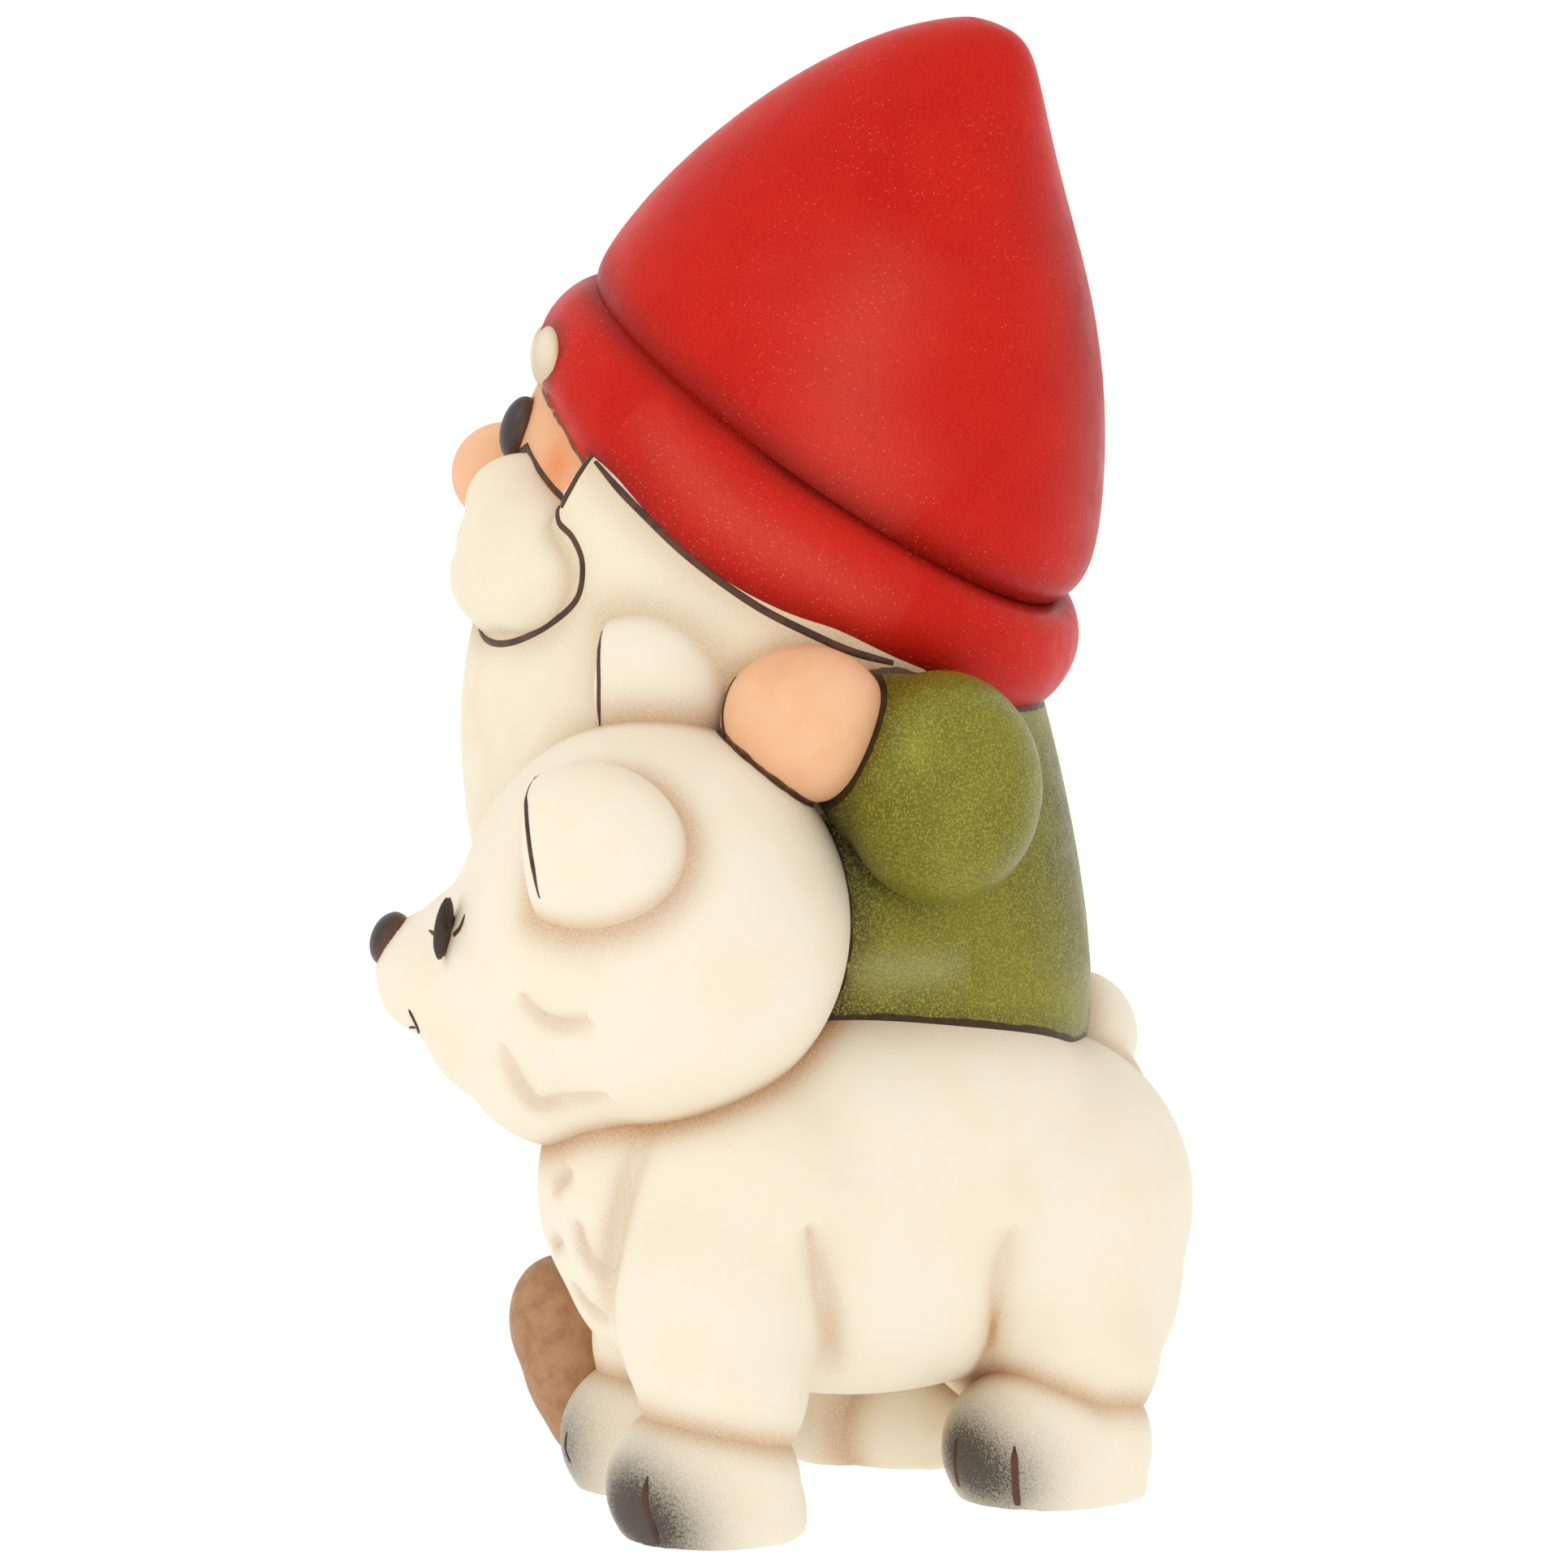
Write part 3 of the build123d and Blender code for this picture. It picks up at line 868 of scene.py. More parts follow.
@dataclass
class GnomeHead:
    """The gnome's face and everything that grows on it."""

    skull: Egg = Egg((0, -5.5, 127.0), (32.3, 32.5, 32.0))
    nose: Egg = Egg((0, -40.1, 129.5), (7.0, 6.9, 6.8))
    eye: Egg = Egg((13.0, -34.0, 136.4), (2.8, 2.4, 4.3), (-16, 8, 24))
    moustache: tuple[Pad, ...] = (
        Pad(10.0, 117.4, (9.6, 6.5)),
        Pad(20.0, 117.0, (11.5, 7.6)),
        Pad(33.0, 117.2, (12.0, 8.8)),
        Pad(47.0, 117.4, (10.8, 8.1)),
        Pad(30.0, 121.6, (8.6, 7.2)),
        Pad(42.0, 123.2, (9.0, 7.2)),
        Pad(35.5, 127.2, (6.0, 6.7)),
    )
    face_radii: tuple[float, float] = (36.4, 38.2)
    pad_depth: tuple[float, float] = (4.6, 8.0)
    beard_rings: tuple[Ring, ...] = (
        Ring((0, -16.0, 53.0), 9.0, 9.0),
        Ring((0, -15.5, 57.0), 18.0, 18.0),
        Ring((0, -13.0, 66.0), 26.0, 26.0),
        Ring((0, -10.5, 78.0), 31.5, 32.6),
        Ring((0, -8.0, 90.0), 35.0, 36.6),
        Ring((0, -5.6, 101.0), 36.5, 39.4),
        Ring((0, -4.5, 112.0), 36.5, 38.4),
        Ring((0, -4.0, 121.0), 36.0, 35.6),
        Ring((0, -4.5, 130.0), 35.8, 35.4),
        Ring((0, -4.5, 133.6), 34.6, 34.8),
        Ring((0, -4.5, 136.2), 31.6, 33.8),
        Ring((0, -4.5, 138.0), 27.0, 31.4),
        Ring((0, -4.5, 140.0), 20.0, 25.0),
    )
    face_opening: tuple[Ring, ...] = (
        Ring((0, -75.0, 119.0), 34.0, 70.0),
        Ring((0, -75.0, 125.0), 40.0, 70.0),
        Ring((0, -75.0, 128.0), 43.7, 70.0),
        Ring((0, -75.0, 130.6), 45.6, 70.0),
        Ring((0, -75.0, 133.4), 48.3, 70.0),
        Ring((0, -75.0, 141.0), 52.0, 70.0),
        Ring((0, -75.0, 150.0), 54.0, 70.0),
    )
    nape: Egg = Egg((0, 56.0, 94.0), (60.0, 42.0, 27.0))

    def build(self) -> dict[str, bpy.types.Object]:
        """Models the head.

        Returns:
            Its pieces by the name of the casting each stands for.
        """
        pieces = {"gnome_head": Clay.model("head_skin", [self.skull], soften=4)}
        pieces["gnome_nose"] = Clay.model("nose_skin", [self.nose], soften=2, voxel=0.5)
        for side, name in ((1, "left"), (-1, "right")):
            pieces[f"gnome_eye_{name}"] = Clay.model(
                f"eye_{name}_skin", [mirrored(self.eye, side)], soften=2, voxel=0.3
            )
            lobes = [mirrored(self.lobe(pad), side) for pad in self.moustache]
            pieces[f"gnome_moustache_{name}"] = Clay.model(
                f"moustache_{name}_skin", lobes, soften=90, voxel=0.55
            )
        beard = Clay.turned("beard_skin", self.beard_rings, smooth_levels=1)
        opening = Clay.turned("opening", self.face_opening, smooth_levels=0)
        apply_modifier(beard, "BOOLEAN", operation="DIFFERENCE", object=opening, solver="EXACT")
        bpy.data.objects.remove(opening)
        nape = Clay.egg(self.nape)
        apply_modifier(beard, "BOOLEAN", operation="DIFFERENCE", object=nape, solver="EXACT")
        bpy.data.objects.remove(nape)
        pieces["gnome_beard"] = Clay.fuse(beard, soften=5, voxel=0.62)
        return pieces

    def lobe(self, pad: Pad) -> Egg:
        """A pad of the moustache as an egg, laid on the roundness of the face.

        Args:
            pad: where on the face it lies and how big it is.

        Returns:
            The egg, most of it sunk in the beard.
        """
        around = math.radians(pad.around)
        sunk, thick = self.pad_depth
        reach_x, reach_y = (radius - sunk for radius in self.face_radii)
        y = self.skull.centre[1] + 1.0 - reach_y * math.cos(around)
        centre = (reach_x * math.sin(around), y, pad.height)
        return Egg(centre, (pad.reach[0], thick, pad.reach[1]), (0, 0, pad.around))


def mirrored(lump: Egg, side: int) -> Egg:
    """A lump on the other side of the plane of symmetry if side is -1, or as it is if side is 1."""
    (x, y, z), (pitch, roll, yaw) = lump.centre, lump.turn
    return Egg((side * x, y, z), lump.radii, (pitch, side * roll, side * yaw))


@dataclass
class GnomeBody:
    """The coat, arms, trousers and boots."""

    coat_rings: tuple[Ring, ...] = (
        Ring((0, 3.0, 36.0), 18.0, 16.0),
        Ring((0, 3.5, 41.0), 27.0, 27.0),
        Ring((0, 4.0, 52.0), 32.5, 34.0),
        Ring((0, 3.6, 66.0), 33.0, 35.2),
        Ring((0, 3.6, 80.0), 31.5, 33.2),
        Ring((0, 4.2, 90.0), 29.5, 30.6),
        Ring((0, 5.2, 100.0), 26.4, 27.2),
        Ring((0, 6.0, 107.0), 23.5, 24.4),
        Ring((0, 7.0, 114.0), 19.0, 20.0),
    )
    sleeve: tuple[Egg, ...] = (
        Egg((31.0, 26.6, 93.4), (12.6, 12.8, 14.8)),
        Egg((30.0, 20.0, 96.0), (10.0, 10.0, 11.6)),
    )
    hand: tuple[Egg, ...] = (Egg((35.5, 10.2, 101.4), (10.2, 10.8, 10.0)),)
    right_sleeve: tuple[Egg, ...] = (Egg((-33.0, 8.0, 84.0), (11.5, 13.0, 16.0), (30, 0, 0)),)
    right_hand: tuple[Egg, ...] = (Egg((-31.0, -8.0, 71.0), (8.6, 9.2, 9.2)),)
    trouser_leg: tuple[Egg, ...] = (
        Egg((10.6, -14.0, 44.0), (10.4, 12.0, 10.4)),
        Egg((10.6, -21.0, 32.0), (9.0, 9.0, 13.0), (24, 0, 0)),
    )
    boot: tuple[Egg, ...] = (
        Egg((10.6, -27.9, 18.0), (9.2, 8.0, 10.4), (22, 0, 0)),
        Egg((10.6, -26.2, 13.0), (9.2, 7.9, 11.6), (22, 0, 0)),
        Egg((10.6, -24.0, 9.0), (8.8, 7.8, 9.6), (22, 0, 0)),
    )

    def build(self) -> dict[str, bpy.types.Object]:
        """Models the body.

        Returns:
            Its pieces by the name of the casting each stands for.
        """
        pieces = {"gnome_coat": Clay.fuse(Clay.turned("coat_skin", self.coat_rings, 1), soften=4)}
        pieces["gnome_sleeve_left"] = Clay.model("sleeve_left_skin", self.sleeve, soften=20, voxel=0.6)
        pieces["gnome_hand_left"] = Clay.model("hand_left_skin", self.hand, soften=16, voxel=0.6)
        pieces["gnome_sleeve_right"] = Clay.model("sleeve_right_skin", self.right_sleeve)
        pieces["gnome_hand_right"] = Clay.model("hand_right_skin", self.right_hand)
        for side, name in ((1, "left"), (-1, "right")):
            leg = [mirrored(lump, side) for lump in self.trouser_leg]
            pieces[f"gnome_trouser_leg_{name}"] = Clay.model(f"trouser_leg_{name}_skin", leg)
            boot = [mirrored(lump, side) for lump in self.boot]
            pieces[f"gnome_boot_{name}"] = Clay.model(
                f"boot_{name}_skin", boot, soften=20, voxel=0.6, stands=True
            )
        return pieces


# --------------------------------------------------------------------------------------------- fox


@dataclass
class FoxBody:
    """The fox's body, legs, paws and tail."""

    place: Frame = Frame((17.3, 10.2, 0.0), (0, 0, -45.0))
    trunk: tuple[Egg, ...] = (
        Egg((-4.0, 0, 40.0), (42.0, 24.0, 24.5)),
        Egg((-4.0, 5.5, 48.0), (30.0, 18.0, 18.5)),
        Egg((-3.0, 4.0, 34.0), (36.0, 19.0, 20.5)),
        Egg((16.0, 0.5, 41.0), (21.0, 23.0, 21.5)),
        Egg((-27.0, 1.5, 36.5), (21.2, 23.5, 22.5)),
        Egg((-28.0, 3.0, 27.0), (18.4, 20.0, 20.0)),
        Egg((-12.0, -19.0, 9.0), (9.5, 9.0, 15.0)),
    )
    bib: tuple[Egg, ...] = (
        Egg((27.0, -2.5, 42.0), (14.2, 14.4, 19.0)),
        Egg((24.0, -2.5, 34.0), (14.0, 13.0, 16.0)),
    )
    paws: dict[str, tuple[float, float]] = field(
        default_factory=lambda: {
            "front_left": (27.4, 13.4),
            "front_right": (18.0, -16.0),
            "hind_left": (-21.3, 14.4),
            "hind_right": (-19.4, -15.8),
        }
    )
    leg_behind_paw: dict[str, float] = field(
        default_factory=lambda: {"front_left": 2.4, "front_right": 2.4, "hind_left": 5.6, "hind_right": 3.0}
    )
    paw: tuple[Egg, ...] = (
        Egg((0.6, 0, 6.4), (12.4, 12.2, 11.0)),
        Egg((-1.0, 0, 2.0), (11.8, 11.6, 12.0)),
    )
    heel: tuple[Egg, ...] = (Egg((-5.0, 0, 6.4), (9.6, 11.6, 11.2)), Egg((-5.4, 0, 2.0), (8.6, 10.8, 12.0)))
    leg: tuple[Egg, ...] = (
        Egg((-0.6, -3.0, 29.0), (13.0, 13.0, 19.0)),
        Egg((0, 0, 19.0), (11.0, 11.2, 13.0)),
    )
    creases: tuple[Crease, ...] = (
        Crease(
            ((48.4, -7.0, 53.0), (48.8, -9.6, 43.5), (48.2, -11.6, 35.7), (45.7, -12.8, 28.8),
             (45.2, -12.0, 25.0)),
            1.8, 1.2,
        ),
        Crease(((46.5, 13.5, 40.0), (45.4, 14.1, 36.0), (41.0, 14.7, 27.6), (35.1, 13.5, 17.0)), 1.0, 1.3),
        Crease(((26.0, 35.0, 37.0), (24.9, 32.9, 27.6), (16.7, 29.2, 16.5), (10.0, 25.0, 12.0)), 1.2, 1.5),
        Crease(((44.6, -20.4, 42.2), (46.8, -17.1, 45.3)), 1.0, 0.8),
        Crease(((41.7, -21.3, 34.4), (45.1, -18.9, 36.3)), 0.8, 0.8),
        Crease(((47.2, -16.4, 39.4), (46.5, -15.0, 34.1), (47.1, -12.3, 31.9)), 0.9, 0.8),
        Crease(((42.5, -18.4, 30.4), (42.2, -16.7, 27.6), (43.6, -13.3, 25.6)), 0.9, 0.8),
    )
    tail: tuple[Egg, ...] = (
        Egg((-11.0, 35.4, 47.0), (9.5, 9.0, 10.0)),
        Egg((-18.6, 32.4, 55.2), (8.6, 8.8, 9.0)),
    )

    def build(self) -> dict[str, bpy.types.Object]:
        """Models the fox's body.

        Returns:
            Its pieces by the name of the casting each stands for.
        """
        pieces: dict[str, bpy.types.Object] = {}
        trunk = list(self.trunk) + list(self.bib)
        for name, (x, y) in self.paws.items():
            for lump in self.leg:
                cx, cy, cz = lump.centre
                outward = math.copysign(1.0, y)
                trunk.append(Egg((x + cx - self.leg_behind_paw[name], y + outward * cy, cz), lump.radii))
        body = Clay.model("fox_body_skin", trunk, self.place, soften=60, voxel=0.7, stands=True)
        draw_creases(body, self.creases)
        pieces["fox_torso"] = body
        for name, (x, y) in self.paws.items():
            eggs = self.paw + (self.heel if name.startswith("hind") else ())
            lumps = [Egg((x + e.centre[0], y + e.centre[1], e.centre[2]), e.radii) for e in eggs]
            pieces[f"fox_paw_{name}"] = Clay.model(
                f"paw_{name}_skin", lumps, self.place, soften=8, voxel=0.6, stands=True
            )
        pieces["fox_tail"] = Clay.model("tail_skin", self.tail, soften=20)
        return pieces


@dataclass
class FoxHead:
    """The fox's head, turned to look the same way as the gnome."""

    place: Frame = Frame((39.5, -8.5, 76.9), (0, 19.0, -2.0))
    skull: tuple[Egg, ...] = (
        Egg((0, 0, -0.8), (25.0, 24.8, 26.0)),
        Egg((0, -10.3, -3.4), (19.0, 17.6, 16.4)),
        Egg((0, -6.5, -14.5), (18.5, 15.0, 14.8)),
        Egg((0, -12.0, -16.3), (18.5, 14.9, 14.2)),
        Egg((0, -19.5, -14.8), (13.0, 12.4, 11.4)),
        Egg((0, -22.5, -8.6), (12.4, 11.4, 12.2)),
        Egg((0, -30.4, -9.0), (9.0, 7.4, 8.0)),
    )
    nose: Egg = Egg((0, -35.7, -4.6), (3.7, 2.5, 3.6), (-20, 0, 0))
    eye: Egg = Egg((11.8, -23.6, 3.2), (2.7, 4.05, 7.9), (-14, 8, 24))
    eye_slant: float = 3.0
    ears: dict[str, Triple] = field(
        default_factory=lambda: {"left": (15.5, -1.0, 16.4), "right": (-15.5, -2.4, 22.4)}
    )
    ear_fronts: dict[str, float] = field(default_factory=lambda: {"left": 6.3, "right": 4.8})
    ear_size: Triple = (9.6, 11.8, 12.4)
    ear_lean: float = 16.0
    ear_cutter: Triple = (90.0, 60.0, 90.0)
    creases: tuple[Crease, ...] = (
        Crease(((60.4, -19.7, 69.6), (60.5, -17.6, 67.1), (61.2, -14.2, 66.0), (62.3, -9.7, 67.0)), 1.2, 0.9),
        Crease(((51.9, -25.0, 62.1), (51.1, -22.1, 55.9), (50.5, -19.1, 54.2), (54.8, -9.9, 56.5)), 1.3, 0.9),
    )

    def build(self) -> dict[str, bpy.types.Object]:
        """Models the fox's head.

        Returns:
            Its pieces by the name of the casting each stands for.
        """
        skull = Clay.model("fox_head_skin", self.skull, self.place, soften=60, voxel=0.6)
        draw_creases(skull, self.creases)
        pieces = {"fox_head": skull}
        pieces["fox_nose"] = Clay.model("fox_nose_skin", [self.nose], self.place, soften=2, voxel=0.4)
        for side, name in ((1, "left"), (-1, "right")):
            pieces[f"fox_eye_{name}"] = self.leaf_eye(name, side)
            pieces[f"fox_ear_{name}"] = self.ear(name, side)
        return pieces

    def leaf_eye(self, name: str, side: int) -> bpy.types.Object:
        """Models one eye: a leaf-shaped bead, where two lumps overlap.

        Args:
            name: which eye.
            side: 1 for the fox's left, -1 for its right.

        Returns:
            The eye's object.
        """
        x, y, z = self.eye.centre
        front, back = (
            Clay.egg(mirrored(Egg((x, y + shift, z), self.eye.radii, self.eye.turn), side), self.place)
            for shift in (-self.eye_slant, self.eye_slant)
        )
        apply_modifier(front, "BOOLEAN", operation="INTERSECT", object=back, solver="EXACT")
        bpy.data.objects.remove(back)
        return Clay.fuse(settle(front, f"fox_eye_{name}_skin"), soften=1, voxel=0.25)

    def ear(self, name: str, side: int) -> bpy.types.Object:
        """Models one ear: a round lobe whose front is cut off flat.

        Args:
            name: which ear.
            side: 1 for the fox's left, -1 for its right.

        Returns:
            The ear's object.
        """
        x, y, z = self.ears[name]
        middle = y - self.ear_fronts[name] - self.ear_cutter[1]
        front = Clay.egg(Egg((x, middle, z), self.ear_cutter), self.place)
        lobe = Egg((x, y, z), self.ear_size, (0, side * self.ear_lean, 0))
        return Clay.model(f"fox_ear_{name}_skin", [lobe], self.place, soften=3, voxel=0.5, cutters=[front])


# --------------------------------------------------------------------------------------------- studio


@dataclass
class Studio:
    """Camera, lights and table."""

    azimuth: float = 105.0
    pitch: float = 6.4
    distance: float = 950.0
    aim: Triple = (0.52, -1.94, 89.7)
    lens: float = 167.28

    table_reach: float = 6.0
    key: Triple = (1.1, -0.5, 1.0)
    key_power: float = 2.2
    fill: Triple = (1.2, 0.9, 0.4)
    fill_power: float = 0.5
    key_size: float = 0.7
    fill_size: float = 1.2
    lit_point: Triple = (0, 0, 95)
    sky: float = 1.0
    table_glow: float = 0.92

    def light(self) -> None:
        """Lights the figurine from a white sky with one big soft lamp, on a pale table."""
        world = bpy.data.worlds.new("studio")
        bpy.context.scene.world = world
        world.use_nodes = True
        world.node_tree.nodes["Background"].inputs[0].default_value = (1.0, 1.0, 1.0, 1.0)
        world.node_tree.nodes["Background"].inputs[1].default_value = self.sky
        for name, place, power, size in (
            ("key", self.key, self.key_power, self.key_size),
            ("fill", self.fill, self.fill_power, self.fill_size),
        ):
            bpy.ops.object.light_add(type="AREA", location=place)
            lamp = bpy.context.object
            lamp.name = name
            lamp.data.energy = power
            lamp.data.size = size
            lamp.rotation_euler = (at(self.lit_point) - lamp.location).to_track_quat("-Z", "Y").to_euler()
        bpy.ops.mesh.primitive_plane_add(size=self.table_reach)
        table = bpy.context.object
        table.name = "table_top"
        recipe = Recipe("white_table")
        glow = {"Emission Color": linear("#FFFFFF"), "Emission Strength": self.table_glow}
        matt = {"Base Color": linear("#8A8A8A"), "Roughness": 0.9}
        shader = recipe.add("ShaderNodeBsdfPrincipled", {**matt, **glow})
        recipe.add("ShaderNodeOutputMaterial", {"Surface": shader.outputs[0]})
        table.data.materials.append(recipe.material)
        bpy.context.scene.view_settings.view_transform = "Standard"

    def camera(self) -> None:
        """Sets up the camera."""
        azimuth, pitch = math.radians(self.azimuth), math.radians(self.pitch)
        outward = Vector((math.sin(azimuth), -math.cos(azimuth), 0)) * math.cos(pitch)
        outward.z = math.sin(pitch)
        data = bpy.data.cameras.new("camera")
        data.lens = self.lens
        data.sensor_width = 36.0
        data.clip_start = 0.05
        data.clip_end = 10.0
        camera = bpy.data.objects.new("camera", data)
        bpy.context.scene.collection.objects.link(camera)
        camera.location = at(self.aim) + outward * self.distance * MM
        camera.rotation_euler = (-outward).to_track_quat("-Z", "Y").to_euler()
        bpy.context.scene.camera = camera


STANDS_FOR = {
    "fox_torso": (
        "fox_torso", "fox_bib", "fox_belly_web", "fox_leg_front_left", "fox_leg_front_right",
        "fox_leg_hind_left", "fox_leg_hind_right",
    ),
    "fox_head": ("fox_head", "fox_muzzle", "fox_cheek_tuft_left", "fox_cheek_tuft_right"),
}

# the fox's strokes lie on these pieces: toes, mouth, ears, and the fingers on its head
LINED = (
    "fox_head", "fox_ear_left", "fox_ear_right", "fox_paw_front_left", "fox_paw_front_right",
    "fox_paw_hind_left", "gnome_hand_left",
)
LINES = (
    Stroke(((58.0, -4.2, 9.4), (58.1, -4.4, 6.1), (57.7, -3.5, 2.9), (56.7, -3.4, 0.6)), 1.1, 0.15, 0.9),
    Stroke(((26.7, -23.8, 7.8), (26.4, -24.2, 5.5), (27.0, -23.3, 3.9)), 0.6, 0.2, 0.4),
    Stroke(((21.5, 26.5, 8.6), (21.5, 26.2, 5.7), (20.6, 26.5, 2.2)), 0.9, 0.2, 0.6),
    Stroke(((24.8, 34.9, 8.7), (25.0, 35.0, 5.3), (23.5, 35.0, 0.8)), 1.0, 0.2, 0.8),
    Stroke(
        ((43.6, -39.4, 64.6), (43.2, -39.1, 63.4), (42.4, -38.9, 62.1), (41.2, -39.1, 61.2)), 0.6, 0.4, 0.6
    ),
    Stroke(((41.9, -39.3, 62.0), (41.3, -39.9, 61.9), (40.7, -40.4, 61.8)), 0.45, 0.8, 0.3),
    Stroke(
        ((44.6, -36.4, 74.9), (45.7, -35.5, 74.7), (48.6, -34.4, 74.8), (51.2, -33.2, 75.2)), 0.6, 0.3, 0.9
    ),
    Stroke(((51.2, -31.6, 75.4), (52.1, -30.2, 76.4), (53.2, -29.1, 78.2)), 0.7, 0.9, 0.2),
    Stroke(
        ((36.4, -16.2, 112.6), (38.8, -15.8, 110.2), (40.6, -15.3, 106.4), (40.9, -15.1, 101.0)),
        0.6, 0.2, 0.3,
    ),
    Stroke(((36.8, 1.6, 107.2), (38.8, 0.9, 105.0), (40.1, 0.7, 102.4), (41.0, 1.4, 100.2)), 1.0, 0.3, 0.9),
    Stroke(
        ((58.0, -17.6, 97.8), (62.5, -17.2, 96.6), (65.4, -16.8, 95.0), (67.4, -16.3, 93.0),
         (68.6, -15.9, 90.0), (68.4, -15.5, 86.2), (66.6, -15.2, 82.4)),
        0.7, 0.3, 0.2,
    ),
)
# down the side of the beard, along the hair at the temple, and around the moustache
BEARD_LINES = (
    Stroke(
        ((31.6, -18.5, 133.7), (34.9, -11.6, 127.8), (35.9, -4.7, 122.0), (35.3, 3.6, 116.2),
         (33.5, 10.5, 112.5), (31.1, 15.1, 110.2), (28.0, 19.6, 108.6)),
        1.0, 0.5, 0.7,
    ),
    Stroke(
        ((30.7, -19.0, 135.9), (31.1, -20.1, 133.1), (30.9, -21.6, 130.4), (30.0, -23.2, 127.6)),
        0.9, 0.8, 0.8,
    ),
    Stroke(
        ((29.5, -23.8, 127.8), (29.8, -23.4, 125.6), (31.3, -21.2, 123.8), (32.6, -19.8, 120.6),
         (32.8, -20.6, 116.2), (31.0, -24.6, 112.8), (27.8, -29.4, 110.4), (24.0, -33.4, 109.4),
         (19.8, -36.6, 109.8), (15.8, -38.6, 111.4)),
        0.9, 0.9, 0.4,
    ),
)
# under the eye, out over the cheek and in towards the nose
FACE_LINES = (
    Stroke(
        ((17.4, -31.6, 134.5), (22.3, -28.4, 131.6), (26.2, -26.2, 129.4), (29.6, -23.6, 127.4)),
        1.0, 0.8, 0.9,
    ),
    Stroke(
        ((18.0, -31.4, 134.3), (14.6, -33.6, 133.0), (11.4, -36.0, 132.2), (9.6, -38.0, 130.6)),
        1.3, 0.9, 0.3,
    ),
)


def both_sides(strokes: Sequence[Stroke]) -> list[Stroke]:
    """The strokes with their mirror images."""
    flipped = [
        Stroke(tuple((-x, y, z) for x, y, z in stroke.path), stroke.width, stroke.start, stroke.end)
        for stroke in strokes
    ]
    return [*strokes, *flipped]


CREASE_LINE = (0.42, 1.0)  # width, as a part of the crease's own, and strength
CREASE_HALO = (1.7, 0.4)


def in_creases(creases: Sequence[Crease]) -> list[Spray]:
    """Paint that runs into creases, and painted shade around them: a thin strong line in each, and a wide
    weak one around it.
    """
    return [
        Spray(crease.path, share * crease.width, strength)
        for share, strength in (CREASE_LINE, CREASE_HALO)
        for crease in creases
    ]


def finish_of(node: str) -> Finishes:
    """The finish of the piece that stands for a casting.

    Args:
        node: the casting's name.

    Returns:
        Its finish.
    """
    by_word = {
        "eye": Finishes.EYE,
        "fox_nose": Finishes.EYE,
        "hat": Finishes.HAT,
        "fox": Finishes.FOX,
        "beard": Finishes.BEARD,
        "moustache": Finishes.BEARD,
        "forelock": Finishes.BEARD,
        "boot": Finishes.BOOT,
        "head": Finishes.SKIN,
        "nose": Finishes.SKIN,
        "hand": Finishes.SKIN,
    }
    return next((finish for word, finish in by_word.items() if word in node), Finishes.COAT)


